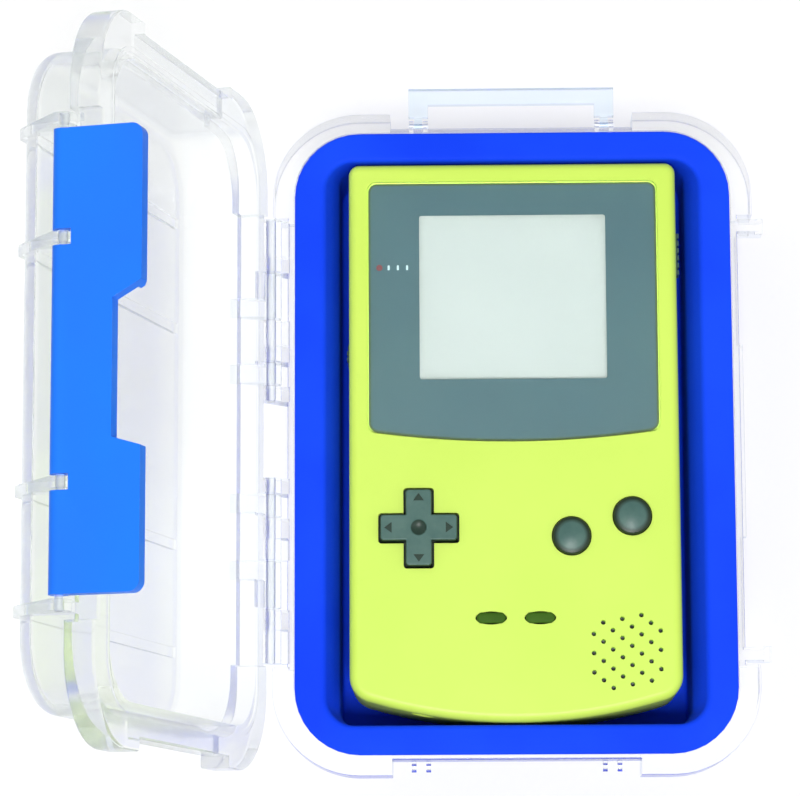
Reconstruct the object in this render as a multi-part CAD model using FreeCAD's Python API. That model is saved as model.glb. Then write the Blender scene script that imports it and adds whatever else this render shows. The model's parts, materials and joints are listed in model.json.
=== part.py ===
import FreeCAD, Part
import math
import os

from FreeCAD import Vector

# Clear hinged case, open on its back, with a moulded liner and a hand-held electronic game in the liner.
# Millimetres. X runs from the hinge to the latch, Y along the case, Z up out of the base.
# The origin is the middle of the base's underside.

# Hand-held game, outside
game_width = 78.0
game_length = 133.5
game_depth = 27.4
game_top_corner = 2.5
game_low_corner = 6.0
game_bow = 6.5
game_front_round = 2.0
game_back_round = 4.0
corner_share = 0.8
game_wall = 2.0
game_face = 2.4
game_split = 13.0

# Case base and liner
finger_gap = 5.75
end_gap = 0.6
pocket_corner = 7.0
pocket_fit = 2.4
pocket_end_fit = 0.4
pocket_foot_corner = 4.0
lead_depth = 8.0
liner_wall = 2.0
liner_floor = 1.5
liner_fit = 0.25
flange_side = 7.1
flange_end = 6.9
flange_corner = 15.5
flange_thick = 1.5
flange_fit = 0.2
shell_wall = 2.5
shell_floor = 2.5
shell_foot_round = 3.0
rim_side = 1.45
rim_end = 1.0
rim_band = 8.0
rim_edge_round = 0.6
face_drop = 0.1
bumper_proud = 3.6
bumper_side_span = 21.8
bumper_end_span = 24.5
bumper_band = 11.0

# Lid
lid_gap = 0.5
lid_depth = 20.0
lid_band = 5.5
lid_bumper_band = 6.8
lid_bumper_proud = 2.6
lid_wall = 2.5
lid_panel = 2.2
lid_inset_side = 3.5
lid_inset_end = 4.0
lid_end_over = 0.8
lid_corner = 16.0
lid_edge_round = 4.0
lid_open_angle = 105.0
bead_inset = 5.0
bead_width = 1.2
bead_proud = 0.3
rib_width = 2.4
rib_proud = 1.0
rib_edge_gap = 4.0

# Hinge: barrels of each half from the outer end of a row to its inner end
hinge_reach = 4.0
hinge_row_gap = 0.55
knuckle_radius = 2.6
knuckle_gap = 0.4
hinge_web = 2.2
hinge_pin_radius = 1.0
pin_hold = 0.02
pin_run = 0.05
outer_base_knuckle = 13.0
outer_lid_knuckle = 11.3
middle_base_knuckle = 10.3
inner_lid_knuckle = 5.5
inner_base_knuckle = 4.0
gusset_length = 4.4

# Latch and its catch
latch_reach = 3.5
latch_rise = 7.4
latch_row_gap = 1.65
latch_drop = 10.7
latch_thick = 3.4
latch_barrel = 2.2
latch_cut_inner = 13.7
latch_cut_inner_low = 15.3
latch_cut_outer = 17.2
latch_cut_depth = 6.3
latch_cut_shift = 1.5
latch_lip = 1.6
latch_lip_thick = 1.8
latch_corner = 2.4
latch_pin_radius = 0.9
ear_inner = 25.6
ear_radius = 2.7
ear_side_gap = 0.5
ear_end_gap = 0.9
catch_half = 23.0
catch_proud = 1.2
catch_height = 3.5
catch_clear = 0.3
latch_rest_length = 5.0
latch_rest_height = 3.5
latch_rest_gap = 0.3
guard_gap = 0.9
guard_thick = 3.0
guard_reach = 6.2
guard_height = 8.0
guard_knob = 1.9
guard_gusset = 4.0

# Bail at one end, and the same pair of lugs at both ends
lug_spacing = 44.6
lug_width = 4.5
lug_slot = 2.3
lug_reach = 1.35
lug_radius = 1.3
lug_height = 4.0
lug_drop = 4.0
bail_pin_radius = 0.6
bail_tongue_side_gap = 0.2
bail_tongue_radius = 1.05
bail_leg = 4.7
bail_leg_start = 2.1
bail_bar = 3.9
bail_reach = 9.1
bail_thick = 3.0
bail_round = 0.6

# Screen
lens_side = 4.4
lens_top = 4.4
lens_thick = 1.25
lens_bow = 2.5
lens_corner = 2.2
lens_fit = 0.15
lens_sink = 0.1
lens_bed = 0.05
control_field = 66.1
window_side = 12.25
window_top = 8.0
window_low = 15.05
window_frame = 1.0
display_margin = 4.0
display_thick = 2.0
display_gap = 0.1
flex_width = 24.0
flex_thick = 0.3
flex_foot = 5.0

# Main board and what fixes it
board_top = 19.8
board_thick = 1.2
board_side_gap = 1.0
board_top_margin = 10.75
board_low_margin = 10.75
board_post = 2.4
board_post_side = 5.5
board_post_down = 58.75
board_screw_radius = 1.0
board_screw_head = 1.9
board_screw_head_thick = 1.4
board_screw_bite = 3.2
screw_hole_gap = 0.2
thread_gap = 0.02
boss_radius = 2.4
boss_gap = 0.4
boss_top = 6.75
case_screw_radius = 1.1
case_screw_head = 2.1
case_screw_head_thick = 1.8
case_screw_seat = 8.0
case_screw_bite = 7.0
counterbore_gap = 0.3
tube_wall = 0.8

# Buttons
pad_side = 16.4
pad_low = 45.65
pad_span = 18.0
pad_arm = 6.1
pad_proud = 1.8
pad_corner = 0.8
pad_hole_gap = 0.55
pad_flange = 11.6
pad_flange_thick = 1.2
pad_rock_gap = 1.2
pad_dimple_radius = 3.2
pad_dimple_depth = 0.7
pad_mark = 1.3
pad_mark_length = 1.8
pad_mark_depth = 0.25
pad_mark_out = 7.0
pad_dome_out = 7.2
pad_dome_radius = 2.6
pad_dome_gap = 1.3
ball_radius = 1.4
ball_gap = 0.1
hub_radius = 2.6
a_side = 11.4
a_low = 48.25
b_step_x = 14.3
b_step_y = 4.65
button_radius = 4.45
button_proud = 1.8
button_crown = 0.7
button_flange = 5.8
flange_plate = 1.0
button_gap = 0.25
key_low = 24.35
key_pitch = 11.5
key_length = 6.9
key_height = 2.6
key_proud = 0.6
key_flange = 1.0
under_face_gap = 0.2
button_travel = 1.2
key_travel = 0.8
dome_gap = 0.3
membrane_thick = 0.8
membrane_margin = 1.5
button_dome = 3.6
key_dome = 1.4
dome_taper = 0.8

# Speaker
speaker_side = 13.0
speaker_low = 16.5
speaker_radius = 10.0
speaker_rim = 1.2
speaker_basket = 8.5
speaker_basket_depth = 2.1
speaker_magnet = 5.0
speaker_magnet_depth = 1.4
speaker_ring = 1.0
speaker_ring_depth = 2.0
speaker_fit = 0.1
hole_radius = 0.55
hole_field = 9.6
hole_step_x = 2.23
hole_step_y = 1.83
hole_pitch = 4.5
hole_first_x = 1.1
hole_first_y = 1.5

# Batteries: two standard cells across the game
cell_radius = 7.25
cell_length = 50.2
cell_nub_radius = 2.75
cell_nub = 1.0
cell_space = 0.6
bay_low = 24.5
bay_fit = 0.5
bay_wall = 1.2
bay_roof = 1.0
cell_lift = 0.4
contact_space = 3.1
contact_thick = 0.5
contact_gap = 0.1
spring_radius = 3.0
cover_fit = 0.2
cover_grip_radius = 9.0
cover_grip_depth = 0.8

# Cartridge, its slot and its connector
slot_half = 28.7
slot_end = 64.75
slot_depth = 7.8
slot_wall = 1.2
slot_fit = 0.3
slot_window_half = 20.0
slot_window_length = 36.0
grip_grooves = 5
grip_groove = 0.8
grip_pitch = 2.4
grip_depth = 0.5
grip_inset = 3.0
connector_half = 26.0
connector_length = 8.8
connector_lift = 1.0

# Sockets, switch, wheel and lamps
port_gap = 0.3
board_clear = 0.2
wall_flush = 0.1
link_down = 22.75
link_length = 11.0
link_height = 3.9
link_block = 8.0
link_mouth = 5.0
link_rim = 0.9
switch_down = 20.75
switch_plate = 10.0
switch_plate_thick = 0.95
switch_plate_gap = 0.15
switch_plate_height = 4.4
switch_neck = 4.0
switch_neck_height = 2.4
switch_drop = 2.0
switch_travel = 3.0
switch_ridges = 5
switch_ridge_pitch = 1.8
switch_ridge = 0.7
switch_ridge_depth = 0.4
switch_body_depth = 4.4
wheel_down = 44.75
wheel_radius = 9.3
wheel_thick = 3.0
wheel_proud = 0.8
wheel_gap = 0.4
wheel_notches = 36
wheel_notch_radius = 0.35
pot_radius = 5.0
pot_height = 1.2
pot_shaft_radius = 1.5
pot_shaft_tail = 0.3
jack_side = 17.0
jack_width = 7.0
jack_height = 5.1
jack_block = 9.0
jack_radius = 2.4
jack_bore = 1.75
jack_bore_depth = 7.0
dc_width = 8.0
dc_block = 8.0
dc_radius = 2.2
dc_bore = 1.6
infrared_length = 12.0
infrared_height = 4.0
infrared_drop = 8.9
infrared_back = 0.4
lamp_side = 2.9
lamp_low = 42.25
lamp_radius = 0.9
lamp_base_radius = 1.5
lamp_base = 3.6

# Places worked out from the sizes above
pocket_width = game_width + 2 * finger_gap
pocket_length = game_length + 2 * end_gap
flange_width = pocket_width + 2 * flange_side
flange_length = pocket_length + 2 * flange_end
recess_width = flange_width + 2 * flange_fit
recess_length = flange_length + 2 * flange_fit
recess_corner = flange_corner + flange_fit
rim_width = recess_width + 2 * rim_side
rim_length = recess_length + 2 * rim_end
rim_corner = recess_corner + (rim_side + rim_end) / 2
liner_width = pocket_width + 2 * liner_wall
liner_length = pocket_length + 2 * liner_wall
liner_corner = pocket_corner + liner_wall
well_width = liner_width + 2 * liner_fit
well_length = liner_length + 2 * liner_fit
well_corner = liner_corner + liner_fit
tub_width = well_width + 2 * shell_wall
tub_length = well_length + 2 * shell_wall
tub_corner = well_corner + shell_wall
back = shell_floor + liner_floor
face = back + game_depth
base_height = face + face_drop
lid_bottom = base_height + lid_gap
lid_top = lid_bottom + lid_depth
lid_width = rim_width - 2 * lid_inset_side
lid_length = rim_length - 2 * lid_inset_end
bumper_start = rim_length / 2 - bumper_side_span
hinge_row_end = bumper_start - hinge_row_gap
hinge_x = -rim_width / 2 - hinge_reach
hinge_z = base_height + lid_gap / 2
latch_x = rim_width / 2 + latch_reach
latch_z = lid_bottom + latch_rise
latch_inner = latch_x - latch_barrel + latch_thick / 4
ear_outer = bumper_start - latch_row_gap - rib_width / 2
latch_half = ear_outer - rib_width / 2 - ear_end_gap
lug_z = base_height - lug_drop
top_y = game_length / 2
low_y = -game_length / 2
half_width = game_width / 2
inner_face = face - game_face
inner_half = half_width - game_wall
split_z = back + game_split
back_wall = back + game_wall
lens_top_y = top_y - lens_top
lens_low_y = low_y + control_field
lens_half = half_width - lens_side
window_half = lens_half - window_side
window_top_y = lens_top_y - window_top
window_low_y = lens_low_y + window_low
board_z = back + board_top
board_low_z = board_z - board_thick
pad_x = -half_width + pad_side
pad_y = low_y + pad_low
a_x = half_width - a_side
a_y = low_y + a_low
b_x = a_x - b_step_x
b_y = a_y - b_step_y
key_y = low_y + key_low
speaker_x = half_width - speaker_side
speaker_y = low_y + speaker_low
ball_z = board_z + ball_gap + ball_radius
pad_flange_top = inner_face - pad_rock_gap
pad_flange_low = pad_flange_top - pad_flange_thick
button_flange_top = inner_face - under_face_gap
button_flange_low = button_flange_top - flange_plate
cell_pitch = 2 * cell_radius + cell_space
bay_y = low_y + bay_low
bay_half_x = cell_length / 2 + contact_space
bay_half_y = cell_pitch / 2 + cell_radius + bay_fit
cell_z = back_wall + cell_lift + cell_radius
bay_top = cell_z + cell_radius + cell_lift
slot_low_y = top_y - slot_end
slot_top = back_wall + slot_depth
boss_x = max(bay_half_x + bay_wall, slot_half + slot_wall) + boss_gap + boss_radius
boss_low_y = pad_y - pad_flange - boss_gap - boss_radius
boss_places = [
    Vector(side * boss_x, y, 0)
    for side in (-1, 1)
    for y in (top_y - boss_top, boss_low_y)
]
connector_low_y = slot_low_y - slot_fit - connector_length
bay_high_y = bay_y + bay_half_y + bay_wall
board_post_places = [
    Vector(-half_width + board_post_side, top_y - board_post_down, 0),
    Vector(half_width - board_post_side, top_y - board_post_down, 0),
    Vector(0, (connector_low_y + bay_high_y) / 2, 0),
]
link_y = top_y - link_down
switch_y = top_y - switch_down
switch_z = board_low_z - switch_drop
wheel_x = -half_width - wheel_proud + wheel_radius
wheel_y = top_y - wheel_down
pot_low = board_low_z - board_clear - pot_height
wheel_top = pot_low - board_clear
wheel_bottom = wheel_top - wheel_thick
jack_x = -half_width + jack_side
jack_z = board_z + (jack_height + board_clear) / 2
dc_y = boss_low_y - boss_radius - boss_gap - dc_width / 2
infrared_z = face - infrared_drop
lamp_x = -lens_half + lamp_side
lamp_y = lens_low_y + lamp_low

tiny = 1e-4
UP = Vector(0, 0, 1)
ALONG = Vector(0, 1, 0)
ACROSS = Vector(1, 0, 0)


def box(x0, x1, y0, y1, z0, z1):
    """Straight block between two corners."""
    return Part.makeBox(x1 - x0, y1 - y0, z1 - z0, Vector(x0, y0, z0))


def rod(radius, start, direction, length):
    """Round bar from a start point."""
    return Part.makeCylinder(radius, length, start, direction)


def upright(radius, x, y, z0, z1):
    """Round bar along Z between two heights."""
    return rod(radius, Vector(x, y, z0), UP, z1 - z0)


def joined(first, *others):
    """One solid from overlapping solids, without the seams between coplanar faces."""
    return first.fuse(list(others)).removeSplitter()


def level_edges(solid, z):
    """Edges that lie flat at one height."""
    return [e for e in solid.Edges if abs(e.BoundBox.ZMin - z) < tiny and abs(e.BoundBox.ZMax - z) < tiny]


def upright_edges(solid):
    """Edges that run straight up."""
    return [e for e in solid.Edges if e.BoundBox.XLength < tiny and e.BoundBox.YLength < tiny]


def rounded_outline(width, length, corner, z):
    """Wire of a level rounded rectangle about the Z axis."""
    edges = []
    for quarter in range(4):
        side_x = (1, -1, -1, 1)[quarter]
        side_y = (1, 1, -1, -1)[quarter]
        centre = Vector(side_x * (width / 2 - corner), side_y * (length / 2 - corner), z)
        turn = [quarter * math.pi / 2 + step * math.pi / 4 for step in range(3)]
        arc = [centre + Vector(corner * math.cos(a), corner * math.sin(a), 0) for a in turn]
        if edges:
            edges.append(Part.makeLine(edges[-1].Vertexes[-1].Point, arc[0]))
        edges.append(Part.Arc(*arc).toShape())
    edges.append(Part.makeLine(edges[-1].Vertexes[-1].Point, edges[0].Vertexes[0].Point))
    return Part.Wire(edges)


def slab(width, length, corner, z0, z1, low_round=0.0, top_round=0.0):
    """Rounded rectangle about the Z axis, with its lower or upper outline rounded over."""
    solid = Part.Face(rounded_outline(width, length, corner, z0)).extrude(UP * (z1 - z0))
    if low_round:
        solid = solid.makeFillet(low_round, level_edges(solid, z0))
    if top_round:
        solid = solid.makeFillet(top_round, level_edges(solid, z1))
    return solid


def profile(points, start, length):
    """Prism along Y whose section is a list of (x, z) points."""
    corners = [Vector(x, start, z) for x, z in points]
    return Part.Face(Part.makePolygon(corners + corners[:1])).extrude(ALONG * length)


def oval(length, height, x, y, z0, z1):
    """Upright prism with an elliptical outline, longer along X."""
    edge = Part.Ellipse(Vector(x, y, z0), length / 2, height / 2).toShape()
    return Part.Face(Part.Wire([edge])).extrude(UP * (z1 - z0))


def bowed_plate(half, top, low, bow, top_round, low_round, z0, z1):
    """Upright prism with straight sides and top, a bottom edge bowed outwards, and round corners."""
    corners = [
        Vector(-half, top, z0),
        Vector(half, top, z0),
        Vector(half, low + bow, z0),
        Vector(-half, low + bow, z0),
    ]
    edges = [
        Part.makeLine(corners[0], corners[1]),
        Part.makeLine(corners[1], corners[2]),
        Part.Arc(corners[2], Vector(0, low, z0), corners[3]).toShape(),
        Part.makeLine(corners[3], corners[0]),
    ]
    solid = Part.Face(Part.Wire(edges)).extrude(UP * (z1 - z0))
    middle = (top + low) / 2
    upper = [e for e in upright_edges(solid) if e.BoundBox.YMin > middle]
    solid = solid.makeFillet(top_round, upper)
    lower = [
        e for e in upright_edges(solid)
        if e.BoundBox.YMin < middle and abs(abs(e.BoundBox.XMin) - half) < tiny
        and e.BoundBox.YMin < low + bow + tiny
    ]
    return solid.makeFillet(low_round, lower)


def game_block(inset, z0, z1):
    """The hand-held game's outline, brought in by an even inset, between two heights."""
    bow_radius = (half_width**2 + game_bow**2) / (2 * game_bow) - inset
    half = half_width - inset
    bow = bow_radius - math.sqrt(bow_radius**2 - half**2)
    top_round = max(game_top_corner - inset, game_wall / 4)
    low_round = max(game_low_corner - inset, game_wall / 4)
    return bowed_plate(half, top_y - inset, low_y + inset, bow, top_round, low_round, z0, z1)


def lens_block(inset, z0, z1):
    """The screen lens's outline, brought in by an even inset."""
    half = lens_half - inset
    top = lens_top_y - inset
    low = lens_low_y + inset
    return bowed_plate(half, top, low, lens_bow, lens_corner, lens_corner, z0, z1)


def cross(span, arm, corner, z0, z1):
    """Upright plus-shaped prism over the direction pad's place."""
    long_way = box(pad_x - span / 2, pad_x + span / 2, pad_y - arm / 2, pad_y + arm / 2, z0, z1)
    tall_way = box(pad_x - arm / 2, pad_x + arm / 2, pad_y - span / 2, pad_y + span / 2, z0, z1)
    ends = [bar.makeFillet(corner, upright_edges(bar)) for bar in (long_way, tall_way)]
    return joined(*ends)


def corner_bumpers(side_proud, end_proud, z0, z1):
    """Four pads that stand proud of the rim at its corners, each ending in a step."""
    outer = slab(
        rim_width + 2 * side_proud,
        rim_length + 2 * end_proud,
        rim_corner + side_proud,
        z0,
        z1,
        rim_edge_round,
        rim_edge_round,
    )
    half_x = rim_width / 2 - bumper_end_span
    far = rim_length
    middle = joined(
        box(-half_x, half_x, -far, far, z0 - 1, z1 + 1),
        box(-far, far, -bumper_start, bumper_start, z0 - 1, z1 + 1),
    )
    return outer.cut(middle)


def hinge_plan():
    """Barrel runs of one hinge row, as (owner, nearer end, farther end) from the case's middle."""
    row = [
        ("base", outer_base_knuckle),
        ("lid", outer_lid_knuckle),
        ("base", middle_base_knuckle),
        ("lid", inner_lid_knuckle),
        ("base", inner_base_knuckle),
    ]
    runs = []
    place = hinge_row_end
    for owner, length in row:
        runs.append((owner, place - length, place))
        place -= length
    return runs


hinge_row_start = hinge_plan()[-1][1]


def hinge_side(owner):
    """Barrels, webs and sloping gussets of one half of the case, and the cuts for their pins."""
    solids = []
    cuts = []
    bore = hinge_pin_radius + (pin_hold if owner == "base" else pin_run)
    rise = -1 if owner == "base" else 1
    edge_z = base_height if owner == "base" else lid_bottom
    inner_x = -rim_width / 2 + rim_side / 2
    tangent = knuckle_radius * math.sqrt(0.5)
    slope_x = hinge_x - tangent
    slope_z = hinge_z + rise * tangent
    web = [
        (hinge_x, edge_z),
        (inner_x, edge_z),
        (inner_x, hinge_z + rise * hinge_web),
        (hinge_x, hinge_z + rise * hinge_web),
    ]
    brace = [
        (slope_x, slope_z),
        (hinge_x, edge_z),
        (inner_x, edge_z),
        (inner_x, slope_z + rise * (inner_x - slope_x)),
    ]
    for side in (-1, 1):
        for name, near, far in hinge_plan():
            if name != owner:
                continue
            low = min(side * near, side * far) + knuckle_gap / 2
            length = far - near - knuckle_gap
            run = min(gusset_length, length)
            start = low if side > 0 else low + length - run
            solids.append(rod(knuckle_radius, Vector(hinge_x, low, hinge_z), ALONG, length))
            solids.append(profile(web, low, length))
            solids.append(profile(brace, start, run))
            cuts.append(rod(bore, Vector(hinge_x, low - 1, hinge_z), ALONG, length + 2))
    return solids, cuts


def end_lugs(end):
    """A pair of forked lugs on one end of the rim, and the cuts for their slots and pin holes."""
    lugs = []
    cuts = []
    wall_y = end * rim_length / 2
    axis_y = end * (rim_length / 2 + lug_reach)
    for side in (-1, 1):
        x = side * lug_spacing / 2 - lug_width / 2
        inner = wall_y - end * rim_end / 2
        lugs.append(rod(lug_radius, Vector(x, axis_y, lug_z), ACROSS, lug_width))
        y0 = min(inner, axis_y)
        y1 = max(inner, axis_y)
        lugs.append(box(x, x + lug_width, y0, y1, lug_z - lug_radius, lug_z + lug_radius))
        foot_y = wall_y + end * lug_reach / 2
        y0 = min(inner, foot_y)
        y1 = max(inner, foot_y)
        lugs.append(box(x, x + lug_width, y0, y1, lug_z - lug_height / 2, lug_z + lug_height / 2))
        middle = side * lug_spacing / 2
        far = axis_y + end * (lug_radius + 1)
        cuts.append(
            box(
                middle - lug_slot / 2,
                middle + lug_slot / 2,
                min(wall_y, far),
                max(wall_y, far),
                lug_z - lug_height,
                lug_z + lug_height,
            )
        )
        hole = bail_pin_radius + pin_hold
        cuts.append(rod(hole, Vector(x - 1, axis_y, lug_z), ACROSS, lug_width + 2))
    return lugs, cuts


def latch_guards():
    """Two plates on the base's free side that flank the latch, each with a round knob and a gusset."""
    wall_x = rim_width / 2 - rim_side / 2
    tip_x = rim_width / 2 + guard_reach
    low_z = base_height - guard_height
    near = latch_half + guard_gap
    guards = []
    for side in (-1, 1):
        y0 = min(side * near, side * (near + guard_thick))
        plate = box(wall_x, tip_x, y0, y0 + guard_thick, low_z, base_height)
        outer = [e for e in plate.Edges if abs(e.BoundBox.XMin - tip_x) < tiny and e.BoundBox.YLength > tiny]
        guards.append(plate.makeFillet(guard_reach / 2, outer[:1]))
        knob_y = side * (near + guard_thick / 2)
        knob_start = Vector(tip_x - guard_knob, knob_y, base_height - guard_knob)
        guards.append(rod(guard_knob, knob_start, ACROSS, guard_knob))
        gusset = Part.makePolygon(
            [
                Vector(wall_x, side * near, low_z),
                Vector(rim_width / 2 + guard_gusset / 2, side * near, low_z),
                Vector(wall_x, side * (near + guard_thick + guard_gusset), low_z),
                Vector(wall_x, side * near, low_z),
            ]
        )
        guards.append(Part.Face(gusset).extrude(UP * (guard_height / 2)))
    return guards


def make_base_shell():
    """Clear tub with a wide rim, corner bumpers, hinge barrels, catch, guards and end lugs."""
    tub = slab(tub_width, tub_length, tub_corner, 0, base_height, shell_foot_round)
    rim_low = base_height - rim_band
    rim = slab(rim_width, rim_length, rim_corner, rim_low, base_height, rim_edge_round, rim_edge_round)
    barrels, pin_cuts = hinge_side("base")
    catch = box(
        rim_width / 2 - rim_side / 2,
        rim_width / 2 + catch_proud,
        -catch_half,
        catch_half,
        rim_low,
        rim_low + catch_height,
    )
    lugs = []
    lug_cuts = []
    for end in (-1, 1):
        end_solids, end_cuts = end_lugs(end)
        lugs += end_solids
        lug_cuts += end_cuts
    bumpers = corner_bumpers(bumper_proud, bumper_proud, base_height - bumper_band, base_height)
    shell = joined(tub, rim, bumpers, catch, *barrels, *lugs, *latch_guards())
    well = slab(well_width, well_length, well_corner, shell_floor, base_height + 1)
    recess = slab(recess_width, recess_length, recess_corner, base_height - flange_thick, base_height + 1)
    return shell.cut([well, recess] + pin_cuts + lug_cuts)


def latch_ears():
    """Ribs over the lid's panel that run down its free wall and end in round ears on the latch's axis."""
    far_x = lid_width / 2
    ribs = []
    cuts = []
    crown = lid_top + rib_proud
    shoulder = lid_edge_round / 2
    tangent = ear_radius * math.sqrt(0.5)
    for place in (-ear_outer, -ear_inner, ear_inner, ear_outer):
        low = place - rib_width / 2
        ribs.append(
            profile(
                [
                    (-far_x + rib_edge_gap, lid_top - lid_panel / 2),
                    (-far_x + rib_edge_gap + rib_proud, crown),
                    (far_x - shoulder, crown),
                    (far_x + rib_proud, lid_top - shoulder),
                    (latch_x + tangent, latch_z + tangent),
                    (latch_x - tangent, latch_z - tangent),
                    (far_x - lid_wall / 2, latch_z - ear_radius),
                    (far_x - lid_wall / 2, lid_top - lid_panel / 2),
                ],
                low,
                rib_width,
            )
        )
        ribs.append(rod(ear_radius, Vector(latch_x, low, latch_z), ALONG, rib_width))
        hole = latch_pin_radius + pin_hold
        cuts.append(rod(hole, Vector(latch_x, low - 1, latch_z), ALONG, rib_width + 2))
    return ribs, cuts


def make_lid_shell():
    """Clear lid, built shut: rim band, bumpers, raised panel, ribs, ears, hinge barrels and sealing bead."""
    band_top = lid_bottom + lid_band
    band_length = rim_length + 2 * lid_end_over
    band = slab(rim_width, band_length, rim_corner, lid_bottom, band_top, rim_edge_round, rim_edge_round)
    end_proud = lid_end_over + lid_bumper_proud
    bumpers = corner_bumpers(lid_bumper_proud, end_proud, lid_bottom, lid_bottom + lid_bumper_band)
    crown = slab(lid_width, lid_length, lid_corner, lid_bottom, lid_top, 0, lid_edge_round)
    ribs, ear_cuts = latch_ears()
    barrels, pin_cuts = hinge_side("lid")
    rests = []
    for side in (-1, 1):
        far = side * catch_half
        near = side * (catch_half - latch_rest_length)
        rests.append(
            box(
                rim_width / 2 - rim_side / 2,
                latch_inner - latch_rest_gap,
                min(near, far),
                max(near, far),
                lid_bottom + rim_edge_round,
                lid_bottom + rim_edge_round + latch_rest_height,
            )
        )
    bead_x = rim_width - 2 * bead_inset
    bead_y = rim_length - 2 * bead_inset
    bead_corner = rim_corner - bead_inset
    bead_z = lid_bottom - bead_proud
    bead_top = lid_bottom + bead_width
    half = bead_width / 2
    bead = slab(bead_x + bead_width, bead_y + bead_width, bead_corner + half, bead_z, bead_top)
    inside = slab(bead_x - bead_width, bead_y - bead_width, bead_corner - half, bead_z - 1, bead_top + 1)
    bead = bead.cut(inside)
    shell = joined(band, bumpers, crown, *ribs, *barrels, *rests)
    cavity = slab(
        lid_width - 2 * lid_wall,
        lid_length - 2 * lid_wall,
        lid_corner - lid_wall,
        lid_bottom - 1,
        lid_top - lid_panel,
        0,
        max(lid_edge_round - lid_panel, lid_panel / 4),
    )
    return joined(shell.cut([cavity] + ear_cuts + pin_cuts), bead)


def make_hinge_pin(side):
    """One plain rod through a row of hinge barrels."""
    low = min(side * hinge_row_start, side * hinge_row_end) + knuckle_gap / 2
    length = hinge_row_end - hinge_row_start - knuckle_gap
    return rod(hinge_pin_radius, Vector(hinge_x, low, hinge_z), ALONG, length)


def make_latch():
    """Moulded lever, built shut: barrel on the pin, plate, notches for the ears and a hooked lower edge."""
    low_z = lid_bottom - latch_drop
    outer = latch_inner + latch_thick
    length = 2 * latch_half
    plate = box(latch_inner, outer, -latch_half, latch_half, low_z, latch_z)
    ends = [
        e for e in plate.Edges
        if abs(e.BoundBox.ZMin - low_z) < tiny and e.BoundBox.ZLength < tiny and e.BoundBox.XLength > tiny
    ]
    plate = plate.makeFillet(latch_corner, ends)
    barrel = rod(latch_barrel, Vector(latch_x, -latch_half, latch_z), ALONG, length)
    hook_top = base_height - rim_band - catch_clear
    lip = profile(
        [
            (latch_inner + latch_thick / 2, hook_top),
            (latch_inner - latch_lip, hook_top),
            (latch_inner - latch_lip, hook_top - latch_lip_thick / 2),
            (latch_inner, hook_top - latch_lip_thick),
            (latch_inner + latch_thick / 2, hook_top - latch_lip_thick),
        ],
        -latch_half + latch_corner,
        length - 2 * latch_corner,
    )
    cut_x0 = latch_inner - latch_lip - 1
    cut_x1 = outer + 1
    cut_points = [
        (-latch_cut_outer, -1),
        (-latch_cut_outer, 0),
        (-latch_cut_inner_low, latch_cut_depth),
        (latch_cut_inner, latch_cut_depth),
        (latch_cut_outer, 0),
        (latch_cut_outer, -1),
    ]
    cut_corners = [Vector(cut_x0, y - latch_cut_shift, low_z + z) for y, z in cut_points]
    cut_face = Part.makePolygon(cut_corners + cut_corners[:1])
    finger_cut = Part.Face(cut_face).extrude(ACROSS * (cut_x1 - cut_x0))
    cuts = [finger_cut]
    notch = rib_width / 2 + ear_side_gap
    for place in (-ear_inner, ear_inner):
        reach = ear_radius + ear_side_gap
        cuts.append(rod(reach, Vector(latch_x, place - notch, latch_z), ALONG, 2 * notch))
    bore_start = Vector(latch_x, -latch_half - 1, latch_z)
    cuts.append(rod(latch_pin_radius + pin_run, bore_start, ALONG, length + 2))
    return joined(plate, barrel, lip).cut(cuts)


def make_latch_pin():
    """One plain rod through the lid's four ears."""
    half = ear_outer + rib_width / 2
    return rod(latch_pin_radius, Vector(latch_x, -half, latch_z), ALONG, 2 * half)


def make_liner():
    """Soft tray: pocket with a sloping mouth, and a flange in the rim's recess that seals on the lid."""
    low_z = shell_floor
    body = slab(liner_width, liner_length, liner_corner, low_z, base_height)
    flange = slab(flange_width, flange_length, flange_corner, base_height - flange_thick, base_height)
    foot_width = game_width + 2 * pocket_fit
    foot_length = game_length + 2 * pocket_end_fit
    lead_z = base_height - lead_depth
    pocket = slab(foot_width, foot_length, pocket_foot_corner, low_z + liner_floor, lead_z)
    foot = rounded_outline(foot_width, foot_length, pocket_foot_corner, lead_z)
    mouth = rounded_outline(pocket_width, pocket_length, pocket_corner, base_height)
    lead = Part.makeLoft([foot, mouth], True, True)
    return joined(body, flange).cut([pocket, lead])


def make_bail_handle():
    """Square loop that swings on the end lugs: bar, two legs, and a tongue in each lug's slot."""
    axis_y = rim_length / 2 + lug_reach
    tongue = lug_slot / 2 - bail_tongue_side_gap
    half_thick = bail_thick / 2
    outer_x = lug_spacing / 2 + bail_leg / 2
    inner_x = lug_spacing / 2 - bail_leg / 2
    far_y = axis_y + bail_reach
    loop = box(-outer_x, outer_x, axis_y + bail_leg_start, far_y, lug_z - half_thick, lug_z + half_thick)
    gap = box(-inner_x, inner_x, axis_y, far_y - bail_bar, lug_z - bail_thick, lug_z + bail_thick)
    loop = loop.cut(gap)
    edges = level_edges(loop, lug_z + half_thick) + level_edges(loop, lug_z - half_thick)
    loop = loop.makeFillet(bail_round, edges)
    pieces = []
    cuts = []
    for side in (-1, 1):
        x = side * lug_spacing / 2 - tongue
        pieces.append(rod(bail_tongue_radius, Vector(x, axis_y, lug_z), ACROSS, 2 * tongue))
        pieces.append(
            box(
                x,
                x + 2 * tongue,
                axis_y,
                axis_y + bail_leg_start + bail_tongue_radius,
                lug_z - bail_tongue_radius,
                lug_z + bail_tongue_radius,
            )
        )
        cuts.append(rod(bail_pin_radius + pin_run, Vector(x - 1, axis_y, lug_z), ACROSS, 2 * tongue + 2))
    return joined(loop, *pieces).cut(cuts)


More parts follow.
